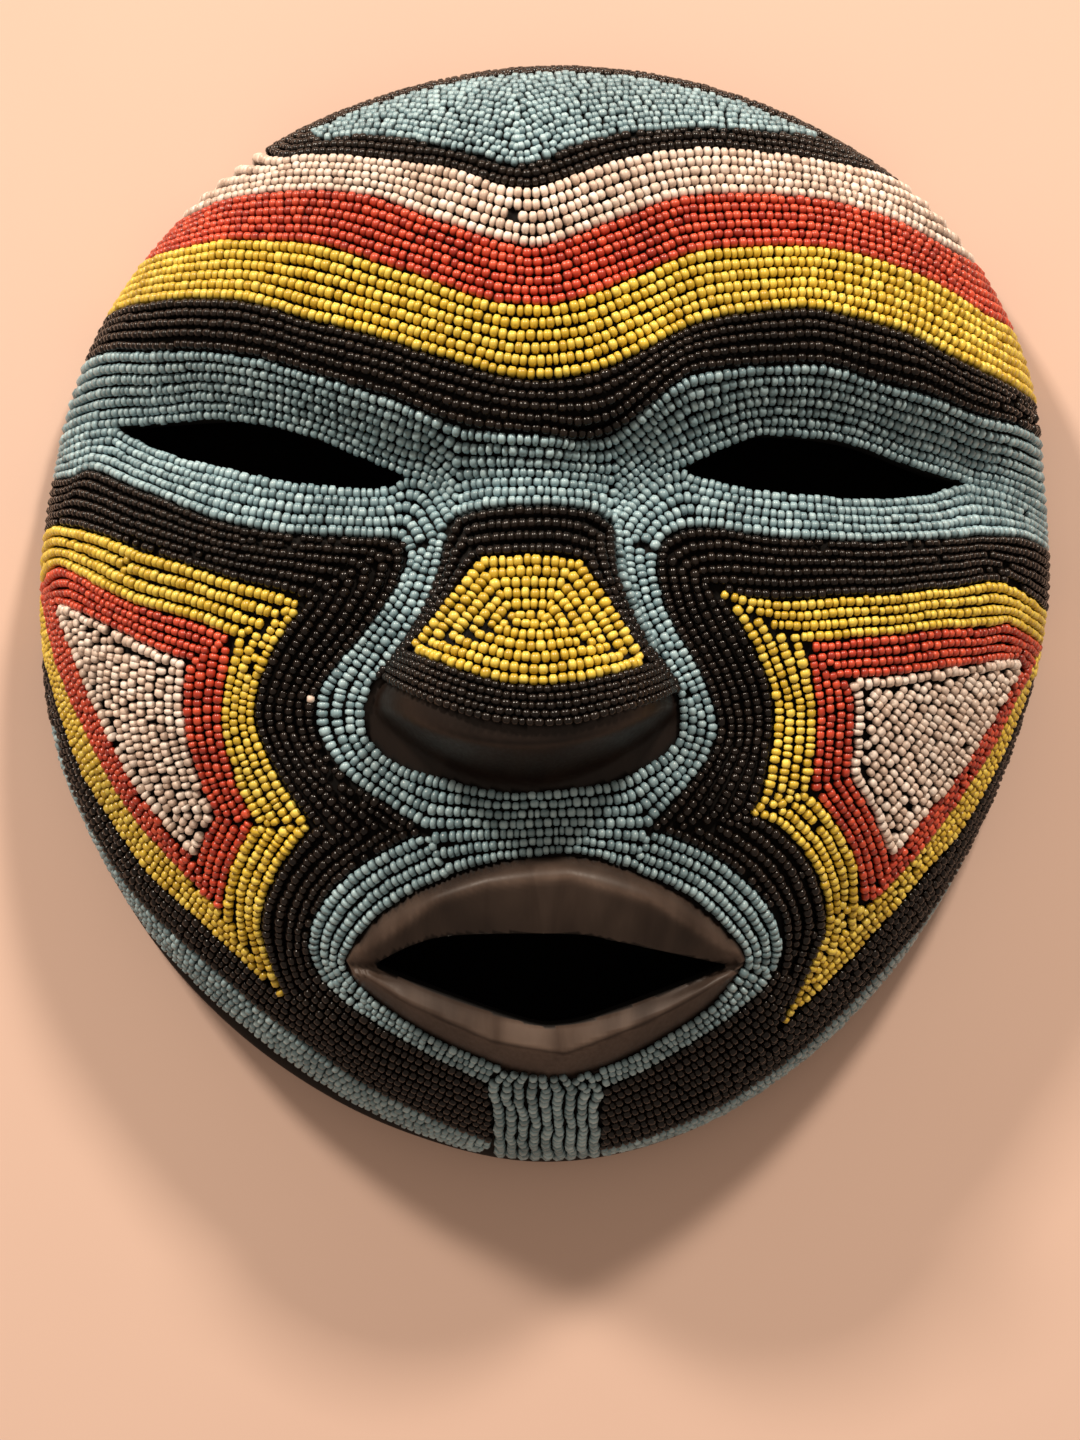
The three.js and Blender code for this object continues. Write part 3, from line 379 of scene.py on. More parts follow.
def curve(points, fine=12):
    """Smooth line through its points: a spline, its end points doubled, or for two points carried
    on straight."""
    p = np.array(points, float)
    before, after = (2 * p[0] - p[1], 2 * p[-1] - p[-2]) if len(p) == 2 else (p[0], p[-1])
    p = np.vstack([before, p, after])
    t = np.linspace(0, 1, fine, endpoint=False)[None, :, None]
    run = spline(*(p[k:len(p) - 3 + k, None, :] for k in range(4)), t)
    return np.vstack([run.reshape(-1, 2), p[-2]])


def even(line, count=None, step=0.7):
    """The line's points moved to even spacing along it."""
    gap = np.linalg.norm(np.diff(line, axis=0), axis=1)
    line = line[np.append(True, gap > 1e-9)]
    s = np.append(0, np.cumsum(np.linalg.norm(np.diff(line, axis=0), axis=1)))
    count = count or max(3, int(s[-1] / step) + 1)
    at = np.linspace(0, s[-1], count)
    return np.stack([np.interp(at, s, line[:, 0]), np.interp(at, s, line[:, 1])], 1)


def curves(*runs):
    """Smooth borders joined end to end."""
    return np.vstack([curve(run) for run in runs])


def flat_line(*runs):
    """Borders joined end to end and laid flat."""
    return unfold(curves(*runs))


def ruled(one, other, rows, first=0.5):
    """Strings between two borders: string k of n runs at the share (k + 0.5) / n of the way from
    one border to the other, each border measured by its own length."""
    count = int(max(len(even(one)), len(even(other))))
    a, b = even(one, count), even(other, count)
    return [a + (b - a) * (k + first) / rows for k in range(rows)]


def joined(rows, *pairs):
    """Strings that run on from one pair of borders to the next."""
    parts = [ruled(one, other, rows) for one, other in pairs]
    return [np.vstack([part[k] for part in parts]) for k in range(rows)]


def nearest_on(line, spot):
    """Number of the line's point that lies nearest to a spot."""
    return int(np.argmin(np.hypot(*(line - spot).T)))


def closed(line):
    """An outline with its first point once more at its end."""
    return np.vstack([line, line[:1]])


def inside(points, shape):
    """True for points inside a closed outline, by counting the outline's edges to their right."""
    x0, y0 = shape.T
    x1, y1 = np.roll(shape, -1, axis=0).T
    rise = np.where(y1 == y0, 1e-12, y1 - y0)
    odd = np.zeros(len(points), bool)
    for k in range(0, len(points), BATCH):
        x, y = points[k:k + BATCH, :1], points[k:k + BATCH, 1:]
        crosses = ((y0 > y) != (y1 > y)) & (x < x0 + (y - y0) / rise * (x1 - x0))
        odd[k:k + BATCH] = crosses.sum(axis=1) % 2 == 1
    return odd


def gaps(some, others):
    """Distance of each point of one list from each point of another."""
    return np.sqrt(((some[:, None] - others[None]) ** 2).sum(-1))


def reach(points, line):
    """Distance of points from a dense line's points."""
    out = np.empty(len(points))
    for k in range(0, len(points), BATCH):
        out[k:k + BATCH] = gaps(points[k:k + BATCH], line).min(1)
    return out


def on_field(place, within, without, margin):
    """True for places on the wood down to the last row, inside one outline and outside another,
    with a margin to both."""
    keep = np.hypot(*place.T) < half_arc(wood_radius(np.arctan2(place[:, 1], place[:, 0]))) + LAST_ROW
    for border, side in (within, True), (without, False):
        if border is not None:
            keep[keep] = inside(place[keep], border) == side
            keep[keep] = reach(place[keep], even(closed(border))) > margin
    return keep


def beside(line, away, others=()):
    """A string laid beside a border: its points moved by a distance along the left-hand normal,
    in a fan at each corner, less those that come nearer than that to any border."""
    line = even(line, step=FINE)
    run = np.diff(line, axis=0)
    normal = np.stack([-run[:, 1], run[:, 0]], 1) / np.linalg.norm(run, axis=1)[:, None]
    before, after = np.vstack([normal[:1], normal]), np.vstack([normal, normal[-1:]])
    share = np.linspace(0, 1, 5)[None, :, None]
    fan = before[:, None] * (1 - share) + after[:, None] * share
    fan /= np.maximum(1e-6, np.linalg.norm(fan, axis=2))[:, :, None]
    moved = (line[:, None] + away * fan).reshape(-1, 2)
    border = np.vstack([line, *[even(o, step=FINE) for o in others]])
    moved = moved[reach(moved, border) > abs(away) - 0.12]
    if len(moved) < 4:
        return []
    breaks = np.where(np.linalg.norm(np.diff(moved, axis=0), axis=1) > 3.5)[0] + 1
    return [piece for piece in np.split(moved, breaks) if len(piece) > 4]


def layers(line, rows, pitch=ROW, side=1):
    """Strings laid one beside the other from a border, to its left, or to its right for side -1."""
    out = []
    for k in range(rows):
        out += beside(line, side * (0.5 + k) * pitch)
    return out


rng = np.random.default_rng(7)


def wavering(place):
    """Strings laid by hand: places shifted by slow sine waves of the place itself, so that
    neighbouring strings waver together."""
    u, v = place.T
    sideways = np.sin(v / 6.1 + 1.3) + np.sin(u / 9.7 - v / 4.3)
    upward = np.sin(u / 5.3 + 0.4) + np.sin(v / 8.9 + u / 3.9)
    return place + WAVER * np.stack([sideways, upward], 1)


def strung(strings, step, within=None, without=None, margin=1.1, drop=0.0, wander=0.10, apart=1.9):
    """Beads along the strings: glass lengths vary about the step, the string is measured over the
    carved wood, and a bead is left out past the border, past the last row or where another
    string's bead already lies."""
    places, runs, lengths, owners = [], [], [], []
    for number, string in enumerate(strings):
        string = even(string, step=FINE)
        over, _ = fold(string, BEAD_TOP / 2)
        s = np.append(0, np.cumsum(np.linalg.norm(np.diff(over, axis=0), axis=1)))
        size = step * np.clip(rng.normal(1, GLASS_SPREAD, int(s[-1] / step * 1.3) + 3), *GLASS_RANGE)
        middle = np.cumsum(size) - size / 2 + rng.uniform(-0.4, 0.2) * step
        keep = (middle > 0) & (middle < s[-1])
        middle, size = middle[keep], size[keep]
        place, ahead, behind = (np.stack([np.interp(middle + way, s, string[:, k]) for k in (0, 1)], 1)
                                for way in (0, LOOK, -LOOK))
        places.append(place)
        runs.append(ahead - behind)
        lengths.append(size)
        owners.append(np.full(len(size), number))
    place, run, length = np.vstack(places), np.vstack(runs), np.concatenate(lengths)
    owner = np.concatenate(owners)
    place = wavering(place + rng.normal(0, wander, place.shape))
    keep = on_field(place, within, without, margin)
    keep &= rng.random(len(place)) >= drop
    place, run, length, owner = place[keep], run[keep], length[keep], owner[keep]
    keep = uncrowded(fold(place)[0], owner, apart)
    place, run, length, owner = place[keep], run[keep], length[keep], owner[keep]
    return place, run, length, bead_width(fold(place)[0], owner)


def bead_width(points, owner):
    """Beads as thick as the next string leaves room for, between a small bead and a large one."""
    room = np.full(len(points), BEAD_WIDTH)
    for k in range(0, len(points), BATCH):
        gap = gaps(points[k:k + BATCH], points)
        room[k:k + BATCH] = np.where(owner[k:k + BATCH, None] == owner[None], FAR, gap).min(1)
    return np.clip(np.where(room > FAR / 2, BEAD_WIDTH, BEAD_ROOM * room), *BEAD_RANGE)


def filled(beads, within, without=None, margin=1.0, apart=2.15):
    """The strings' beads and odd ones pushed into the gaps between them: spots of a fine grid
    that lie clear of every bead, taken one after another, each laid like its nearest bead."""
    place = np.concatenate([b[0] for b in beads])
    run = np.concatenate([b[1] for b in beads])
    low, high = within.min(0), within.max(0)
    cells = ((high - low) / CELL).astype(int) + 2
    taken = np.zeros(cells, bool)
    spot = np.round((place - low) / CELL).astype(int)
    around = int(apart / CELL)
    for i in range(-around, around + 1):
        for j in range(-around, around + 1):
            if math.hypot(i, j) * CELL < apart:
                taken[tuple(np.clip(spot + [i, j], 0, cells - 1).T)] = True
    free = np.argwhere(~taken) * CELL + low
    free = free[on_field(free, within, without, margin)]
    added = []
    while len(free):
        added.append(free[0])
        free = free[np.hypot(*(free - free[0]).T) > apart]
    if not added:
        return beads
    added = np.array(added) + rng.normal(0, 0.1, (len(added), 2))
    nearest = [nearest_on(place, spot) for spot in added]
    count = len(added)
    return beads + [(added, run[nearest], np.full(count, FILL_LENGTH),
                     np.clip(rng.normal(FILL_WIDTH, 0.15, count), 2, 2.6))]


def uncrowded(points, owner, apart):
    """False for a bead that lies nearer than a set distance to one of a string laid before it."""
    keep = np.ones(len(points), bool)
    for k in range(0, len(points), BATCH):
        part = points[k:k + BATCH]
        earlier = owner[None, :k + len(part)] < owner[k:k + BATCH, None]
        gap = np.where(earlier, gaps(part, points[:k + len(part)]), FAR)
        keep[k:k + BATCH] = gap.min(1) > apart
    return keep


# one bead: rings of seven points along its hole, as [place in its length, share of its width]
BEAD_RINGS = [[-0.48, 0.46], [-0.25, 0.93], [0.25, 0.93], [0.48, 0.46]]
BEAD_SIDES = 7
HOLE_SHADE = 0.8          # strength of the painted shade on the end rings, for the hole and the gap to the next bead


def bead_pattern():
    """Round bead about its hole: seven points on each of four rings, closed by a fan at each end."""
    turn = np.arange(BEAD_SIDES) / BEAD_SIDES * 2 * math.pi
    points = [[along, wide * math.cos(t), wide * math.sin(t)] for along, wide in BEAD_RINGS for t in turn]
    faces = []
    for ring in range(len(BEAD_RINGS) - 1):
        for k in range(BEAD_SIDES):
            a, b = ring * BEAD_SIDES + k, ring * BEAD_SIDES + (k + 1) % BEAD_SIDES
            faces += [[a, b, b + BEAD_SIDES], [a, b + BEAD_SIDES, a + BEAD_SIDES]]
    last = (len(BEAD_RINGS) - 1) * BEAD_SIDES
    for k in range(1, BEAD_SIDES - 1):
        faces += [[0, k + 1, k], [last, last + k, last + k + 1]]
    # end rings get painted shade, for the hole and the gap to the next bead
    dark = [HOLE_SHADE if abs(along) > 0.4 else 0.0 for along, _ in BEAD_RINGS for _ in turn]
    return np.array(points), np.array(faces), np.array(dark)


def placed(name, data):
    """A new object in the scene."""
    made = bpy.data.objects.new(name, data)
    bpy.context.scene.collection.objects.link(made)
    return made


def mesh_object(name, points, faces, smooth=True):
    """A mesh object at the origin, its points in drawing millimetres brought to metres."""
    mesh = bpy.data.meshes.new(name)
    points = (np.asarray(points) + SHIFT) / 1000
    faces = np.asarray(faces)
    mesh.vertices.add(len(points))
    mesh.vertices.foreach_set("co", points.astype(np.float32).ravel())
    mesh.loops.add(faces.size)
    mesh.loops.foreach_set("vertex_index", faces.astype(np.int32).ravel())
    mesh.polygons.add(len(faces))
    sides = faces.shape[1]
    mesh.polygons.foreach_set("loop_start", np.arange(0, faces.size, sides, dtype=np.int32))
    mesh.polygons.foreach_set("use_smooth", np.full(len(faces), smooth))
    mesh.update(calc_edges=True)
    mesh.validate()
    return placed(name, mesh)


def attribute(piece, name, values):
    """One number per point of the mesh, for its material."""
    layer = piece.data.attributes.new(name, "FLOAT", "POINT")
    layer.data.foreach_set("value", np.asarray(values, np.float32).ravel())


def bead_field(name, material, beads):
    """All beads of one colour field as one mesh: the barrel carried to every bead's place, along
    its string, across it and out of the wood, with its own size, tone and painted shade on its ends."""
    place, run, length, wide = (np.concatenate([b[k] for b in beads]) for k in range(4))
    count = len(place)
    width = wide * np.clip(rng.normal(1, WIDTH_SPREAD, count), *WIDTH_SHARES)
    centre, out = fold(place, BEAD_TOP / 2)
    along = fold(place + run * 0.25)[0] - fold(place - run * 0.25)[0]
    along += rng.normal(0, TILT_SPREAD, along.shape) * np.linalg.norm(along, axis=1)[:, None]
    along -= out * (along * out).sum(1)[:, None]
    along /= np.linalg.norm(along, axis=1)[:, None]
    across = np.cross(out, along)
    centre = centre + out * rng.normal(0, HEIGHT_SPREAD, (count, 1))
    barrel, faces, dark = bead_pattern()
    points = (centre[:, None]
              + along[:, None] * (barrel[None, :, :1] * length[:, None, None])
              + across[:, None] * (barrel[None, :, 1:2] * width[:, None, None] / 2)
              + out[:, None] * (barrel[None, :, 2:] * width[:, None, None] / 2))
    index = (faces[None] + (np.arange(count) * len(barrel))[:, None, None]).reshape(-1, 3)
    piece = mesh_object(name, points.reshape(-1, 3), index)
    attribute(piece, "tone", np.repeat(rng.random(count), len(barrel)))
    # hole: strength of the painted shade on each bead's end rings
    attribute(piece, "hole", np.tile(dark, count))
    piece.data.materials.append(material)
    return piece


# the drawing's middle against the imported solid's: the same 36 spokes of the rim
_spoke = np.arange(36) / 36 * 2 * math.pi
_rim = polar(rim_radius(_spoke), _spoke)
_low, _high = (np.array(c) * 1000 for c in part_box("wood_mask"))
SHIFT = np.append((_low + _high)[:2] / 2 - (_rim.min(0) + _rim.max(0)) / 2, 0.0)


def lip_rise(x, y):
    """Lips over the muzzle: down each front-to-back line the wood climbs from the lips' edge to the
    ridge, falls to the opening, and the same again below it; the ridge is lower near the corners."""
    swell = np.sqrt(np.clip(1 - (x / LIP_HALF) ** 2, 0, 1))
    low = LIP_LOW_LEFT + LIP_LOW_MIDDLE[1:] + LIP_LOW_RIGHT[1:]
    edge_top = guide(LIP_TOP, x) - 0.5
    edge_low = guide(low, x) + 0.7
    ridge_top = np.minimum(np.interp(x, *np.array(LIP_RIDGE_TOP, float).T), edge_top - 1.2)
    ridge_low = np.maximum(np.interp(x, *np.array(LIP_RIDGE_LOW, float).T), edge_low + 1.2)
    open_top = np.minimum(guide(MOUTH_TOP, x), ridge_top - 0.8)
    open_low = np.maximum(guide(MOUTH_LOW, x), ridge_low + 0.8)
    open_low = np.minimum(open_low, open_top - 0.01)
    height = LIP_HEIGHT * (0.35 + 0.65 * swell)
    inner_top, inner_low = LIP_HEIGHT * LIP_INNER_TOP * swell, LIP_HEIGHT * LIP_INNER_LOW * swell
    up = np.clip((edge_top - y) / (edge_top - ridge_top), 0, 1)
    rise = height * np.sqrt(np.clip(1 - (1 - up) ** 2, 0, 1))
    for upper, lower, start, end in ((ridge_top, open_top, height, inner_top),
                                     (open_top, open_low, inner_top, inner_low),
                                     (open_low, ridge_low, inner_low, height)):
        s = np.clip((upper - y) / (upper - lower), 0, 1)
        rise = np.where(y < upper, start + (end - start) * s, rise)
    s = np.clip((y - edge_low) / (ridge_low - edge_low), 0, 1)
    rise = np.where(y < ridge_low, height * s ** 0.8, rise)
    edge = (y < edge_top) & (y > edge_low) & (np.abs(x) < LIP_HALF - 1)
    # painted highlight: lighter brown on the upper ridge and rim and on the lower lip's inner bevel, the
    # faces turned to the lamps; 0.3 of it over all the lips is rubbed wear
    lit_top_ridge = 0.5 * hump(y, ridge_top, 1.2) + 0.25 * (y > ridge_top)
    lit_low_bevel = 0.4 * hump(y, ridge_low, 1.0) + 0.6 * ((y < open_low) & (y > ridge_low))
    return np.where(edge, rise, 0), np.where(edge, np.clip(0.3 + lit_top_ridge + lit_low_bevel, 0, 1), 0)


def carved_wood():
    """The wooden face as one closed skin of rings: out over the front by meridian angle, down the
    bead edge, round the flat rim, and back in over the hollow, WALL thick. Spokes lie closer
    together towards the mouth."""
    spokes, front, back = 300, 170, 22
    turn = np.arange(spokes) / spokes * 2 * math.pi
    theta = turn + MOUTH_CROWD * np.cos(turn + math.pi)
    psi = np.linspace(0, math.pi / 2, front + 1)[1:, None]
    x, y, z = dome_point(theta[None], psi)
    rise, wear_and_lit_bevel = lip_rise(x, y)
    rings = [np.stack([x, y, z + rise * np.minimum(1, np.cos(psi) * LIP_FADE)], -1)]
    wear_and_lit_rings = [wear_and_lit_bevel]
    plain = curves(NOSE_BAND_LOW, NOSTRIL_RIGHT, NOSTRIL_LEFT[::-1])
    lips_edge = curves(LIP_LOW_LEFT, LIP_LOW_MIDDLE, LIP_LOW_RIGHT, LIP_TOP[::-1])
    spots = np.stack([x.ravel(), y.ravel()], 1)
    open_wood = [(inside(spots, plain) | inside(spots, lips_edge)).reshape(x.shape).astype(float)]

    def ring(radius, height):
        rings.append(np.column_stack([polar(radius, theta), np.full(spokes, float(height))])[None])
        wear_and_lit_rings.append(np.zeros((1, spokes)))
        open_wood.append(np.full((1, spokes), float(height < RIM_THICK)))

    wood, rim = wood_radius(theta), rim_radius(theta)
    for radius, height in ((wood, RIM_THICK + 1.4), (wood, RIM_THICK + 0.2), (rim - 0.5, RIM_THICK - 0.6),
                           (rim, RIM_THICK - 1.2), (rim, 0.8), (rim - 0.25, 0.25), (rim - 0.8, 0),
                           (wood - WALL + 0.6, 0), (wood - WALL, 0.8)):
        ring(radius, height)
    psi = np.linspace(math.pi / 2, 0, back + 1)[:-1, None]
    x, y, z = dome_point(theta[None], psi, WALL, HOLLOW_NOSE)
    rings.append(np.stack([x, y, z], -1))
    wear_and_lit_rings.append(np.zeros(x.shape))
    open_wood.append(np.ones(x.shape))
    grid = np.vstack(rings)
    top = np.array(dome_point(np.zeros(1), np.zeros(1))).ravel()
    under = np.array(dome_point(np.zeros(1), np.zeros(1), WALL, HOLLOW_NOSE)).ravel()
    points = np.vstack([grid.reshape(-1, 3), top, under])
    count = len(grid)
    k, i = np.meshgrid(np.arange(count - 1), np.arange(spokes), indexing="ij")
    j = (i + 1) % spokes
    a, b, c, d = k * spokes + i, (k + 1) * spokes + i, (k + 1) * spokes + j, k * spokes + j
    faces = np.concatenate([np.stack([a, b, c], -1), np.stack([a, c, d], -1)]).reshape(-1, 3)
    i = np.arange(spokes)
    j = (i + 1) % spokes
    last = (count - 1) * spokes
    cap = np.stack([np.full(spokes, len(points) - 2), i, j], 1)
    end = np.stack([np.full(spokes, len(points) - 1), last + j, last + i], 1)
    piece = mesh_object("carved_wood", points, np.vstack([faces, cap, end]))
    # rubbed wear and painted highlight on the lips, read by the wood's material
    attribute(piece, "wear_and_lit_bevel", np.append(np.vstack(wear_and_lit_rings).ravel(), [0, 0]))
    attribute(piece, "bare", np.append(np.vstack(open_wood).ravel(), [0, 1]))
    return piece


def slit_cutter(name, top, low):
    """Straight-sided plug to cut an opening: the band between two lines that share their ends,
    carried from below the rim to above the face."""
    top, low = even(top, 60)[1:-1], even(low, 60)[1:-1]
    loop = np.vstack([top, low[::-1]])
    count, n = len(top), len(loop)
    points = np.vstack([np.column_stack([loop, np.full(n, height)]) for height in (CUT_LOW, CUT_HIGH)])
    i = np.arange(n)
    j = (i + 1) % n
    walls = np.concatenate([np.stack([i, j, j + n], 1), np.stack([i, j + n, i + n], 1)])
    i = np.arange(count - 1)
    low_i = n - 1 - i
    lids = np.concatenate([np.stack([i, low_i, i + 1], 1), np.stack([i + 1, low_i, low_i - 1], 1)])
    faces = np.concatenate([walls, lids, lids[:, ::-1] + n])
    area = (loop[:, 0] * np.roll(loop[:, 1], -1) - np.roll(loop[:, 0], -1) * loop[:, 1]).sum()
    return mesh_object(name, points, faces if area > 0 else faces[:, ::-1], smooth=False)


def under_beads(points):
    """The wood straight below a line drawn between the beads."""
    x, y = points.T
    r = np.hypot(x, y)
    radius = wood_radius(np.arctan2(y, x))
    share = (r - BEAD_TOP * np.minimum(1, r / (radius + BEAD_TOP)) ** 3) / r
    return points * share[:, None]


def cut(piece, cutters):
    """The piece with the plugs cut out of it, applied to its mesh."""
    for cutter in cutters:
        tool = piece.modifiers.new("opening", "BOOLEAN")
        tool.operation = "DIFFERENCE"
        tool.solver = "MANIFOLD"
        tool.object = cutter
    done = bpy.data.meshes.new_from_object(piece.evaluated_get(bpy.context.evaluated_depsgraph_get()))
    piece.modifiers.clear()
    piece.data = done
    for cutter in cutters:
        bpy.data.objects.remove(cutter, do_unlink=True)


def nodes_of(name):
    """A new node material: the material, its node tree and its main shader."""
    material = bpy.data.materials.new(name)
    material.use_nodes = True
    return material, material.node_tree, material.node_tree.nodes["Principled BSDF"]


def put(tree, socket, value):
    """A number, a colour or another node's output given to a socket."""
    if isinstance(value, bpy.types.NodeSocket):
        tree.links.new(value, socket)
    else:
        socket.default_value = value


def give(tree, node, **values):
    """Values given to a node's sockets by name, a low line standing for a space."""
    for name, value in values.items():
        put(tree, node.inputs[name.replace("_", " ")], value)


def place_on(tree):
    """Where a point lies in its object."""
    return tree.nodes.new("ShaderNodeTexCoord").outputs["Object"]


def own_number(tree, name):
    """The number that the piece's own mesh keeps for each point."""
    made = tree.nodes.new("ShaderNodeAttribute")
    made.attribute_name = name
    return made.outputs["Fac"]


def noise(tree, vector, scale, detail=2.0, distortion=0.0):
    """Noise between 0 and 1."""
    made = tree.nodes.new("ShaderNodeTexNoise")
    give(tree, made, Vector=vector, Scale=scale, Detail=detail, Distortion=distortion)
    return made.outputs["Fac"]


def spread(tree, value, start, end, low=0.0, high=1.0):
    """A value brought from the range low to high to the range start to end."""
    made = tree.nodes.new("ShaderNodeMapRange")
    give(tree, made, Value=value, From_Min=low, From_Max=high, To_Min=start, To_Max=end)
    return made.outputs[0]


def arithmetic(tree, operation, *values):
    """One step of arithmetic."""
    made = tree.nodes.new("ShaderNodeMath")
    made.operation = operation
    for socket, value in zip(made.inputs, values):
        put(tree, socket, value)
    return made.outputs[0]


def shades(tree, value, first, last, *between):
    """A colour picked by a value from shades given as (place, colour)."""
    made = tree.nodes.new("ShaderNodeValToRGB")
    stops = made.color_ramp.elements
    for stop, (spot, colour) in (stops[0], first), (stops[1], last):
        stop.position = spot
        stop.color = (*colour, 1)
    for spot, colour in between:
        stops.new(spot).color = (*colour, 1)
    put(tree, made.inputs["Fac"], value)
    return made.outputs["Color"]


def blend(tree, share, one, other, kind="RGBA"):
    """One colour or number passing into another by a share."""
    made = tree.nodes.new("ShaderNodeMix")
    made.data_type = kind
    first, second, result = (6, 7, 2) if kind == "RGBA" else (2, 3, 0)
    for socket, value in (0, share), (first, one), (second, other):
        put(tree, made.inputs[socket], value)
    return made.outputs[result]


def uneven(tree, shader, height, strength, distance):
    """Fine unevenness of the skin, from a height and its depth in metres."""
    made = tree.nodes.new("ShaderNodeBump")
    give(tree, made, Strength=strength, Distance=distance, Height=height)
    tree.links.new(made.outputs["Normal"], shader.inputs["Normal"])


def bead_glass(name, dark, mid, light, rough=0.3, spec=0.5, coat=0.25, end=(0.02, 0.014, 0.01, 1)):
    """Opaque pressed glass: each bead's own tone between three shades of the colour, cloudy
    mottling inside it, painted shade darkening its hole ends, and fine unevenness of the gloss."""
    material, tree, shader = nodes_of(name)
    where = place_on(tree)
    tone = shades(tree, own_number(tree, "tone"), (0, dark), (1, light), (0.45, mid))
    cloud = noise(tree, where, 620, 3)
    mottling = arithmetic(tree, "MULTIPLY", cloud, noise(tree, where, 28))
    colour = tree.nodes.new("ShaderNodeHueSaturation")
    give(tree, colour, Color=tone, Value=spread(tree, mottling, 0.72, 1.12, 0.12, 0.38))
    # painted shade: the end rings blend towards the end colour
    hole_shade = arithmetic(tree, "POWER", own_number(tree, "hole"), 1.6)
    gloss = spread(tree, cloud, rough - 0.08, rough + 0.12)
    give(tree, shader, Base_Color=blend(tree, hole_shade, colour.outputs["Color"], end), Roughness=gloss,
         Specular_IOR_Level=spec, Coat_Weight=coat, Coat_Roughness=0.18)
    uneven(tree, shader, cloud, 0.25, 0.0002)
    return material


def dark_wood():
    """Stained hardwood: long grain down the face from noise stretched along it, fine pores, tool
    marks, a lighter brown where the piece's own value for rubbed wear and painted highlight on the lips'
    lit ridges and bevels says so, and a dull near-black, painted shade for the gaps, where the beads hide it."""
    material, tree, shader = nodes_of("stained_wood")
    where = place_on(tree)
    stretch = tree.nodes.new("ShaderNodeMapping")
    give(tree, stretch, Vector=where, Scale=(110, 26, 60))
    along = stretch.outputs["Vector"]
    grain = noise(tree, along, 1.0, 8, 0.6)
    stain = shades(tree, grain, (0.3, (0.0090, 0.0052, 0.0040)), (0.75, (0.0175, 0.0105, 0.0075)))
    # lighter brown: rubbed wear, and painted highlight on the lips' lit ridges and bevels
    rubbed_and_lit_brown = shades(tree, grain, (0.25, (0.06, 0.036, 0.025)), (0.8, (0.15, 0.105, 0.082)))
    patches = spread(tree, noise(tree, where, 34, 3), 0.35, 1.0, 0.3, 0.65)
    wear_and_lit_bevel = arithmetic(tree, "MULTIPLY", own_number(tree, "wear_and_lit_bevel"), patches)
    bare = own_number(tree, "bare")
    seen = blend(tree, wear_and_lit_bevel, stain, rubbed_and_lit_brown)
    gloss = spread(tree, noise(tree, along, 9.0, 4), 0.32, 0.6)
    # near-black under the beads: painted shade in the gaps between them
    give(tree, shader, Base_Color=blend(tree, bare, (0.004, 0.003, 0.0025, 1), seen),
         Roughness=blend(tree, bare, 0.95, gloss, "FLOAT"), Specular_IOR_Level=0.25)
    tool = tree.nodes.new("ShaderNodeTexVoronoi")
    give(tree, tool, Vector=where, Scale=75)
    uneven(tree, shader, arithmetic(tree, "MULTIPLY_ADD", tool.outputs["Distance"], 0.35, grain), 0.3, 0.0004)
    return material


# shades of the glass from dark to light, its roughness, gloss and coat, and the painted shade at its hole
# ends
BLUE = bead_glass("blue_bead_glass", (0.16, 0.255, 0.29), (0.25, 0.385, 0.435), (0.375, 0.53, 0.58), 0.36)
BLACK = bead_glass("black_bead_glass", (0.0036, 0.0022, 0.0018), (0.0065, 0.0040, 0.0032),
                   (0.013, 0.0085, 0.0065), 0.22, 0.3, 0.08)
WHITE = bead_glass("white_bead_glass", (0.60, 0.455, 0.365), (0.82, 0.66, 0.555), (0.92, 0.80, 0.71),
                   0.38, end=(0.10, 0.06, 0.04, 1))
RED = bead_glass("red_bead_glass", (0.35, 0.024, 0.010), (0.56, 0.052, 0.019), (0.71, 0.090, 0.036),
                 0.34, end=(0.05, 0.005, 0.003, 1))
YELLOW = bead_glass("yellow_bead_glass", (0.54, 0.355, 0.020), (0.73, 0.51, 0.045), (0.84, 0.645, 0.10),
                    0.35, end=(0.12, 0.060, 0.004, 1))

# borders laid flat
flat = {key: flat_line(run) for key, run in dict(
    crown_v=CROWN_V, black_v=BLACK_V, white_red=WHITE_RED, red_yellow=RED_YELLOW,
    yellow_black=YELLOW_BLACK, black_blue=BLACK_BLUE, nose_left=NOSE_LEFT, nose_top=NOSE_TOP,
    nose_right=NOSE_RIGHT, yellow_left=NOSE_YELLOW_LEFT, yellow_top=NOSE_YELLOW_TOP,
    yellow_right=NOSE_YELLOW_RIGHT, yellow_low=NOSE_YELLOW_LOW, band_low=NOSE_BAND_LOW,
    jaw_left=JAW_LEFT, jaw_right=JAW_RIGHT).items()}


def across(upper, lower, rows):
    """Strings of a band that is crossed straight up and down: at every x a share of the way
    from the upper border to the lower one."""
    x = np.arange(max(upper[0, 0], lower[0, 0]), min(upper[-1, 0], lower[-1, 0]), 0.7)
    top = np.interp(x, upper[:, 0], upper[:, 1])
    bottom = np.interp(x, lower[:, 0], lower[:, 1])
    return [unfold(np.stack([x, top + (bottom - top) * (k + 0.5) / rows], 1)) for k in range(rows)]


def nested(outer, inner, rows, step, **more):
    """A ring of strings between two nested shapes, run by run between their corners, and last a
    short string in each corner, from the outer shape's corner to the inner one's."""
    strings, corners = [], []
    for one, other in zip(outer, inner):
        tip, root = flat_line(one)[0], flat_line(other)[0]
        strings += ruled(flat_line(one), flat_line(other), rows)
        corners.append(np.array([tip + (root - tip) * 0.05, root]))
    return strung(strings + corners, step, **more)


def rim_line(start, end, out):
    """A string along the edge of the mask between two angles, a set way past the widest line."""
    theta = np.radians(np.linspace(start, end, 200))
    return polar(half_arc(wood_radius(theta)) + out, theta)


FIELDS = {}

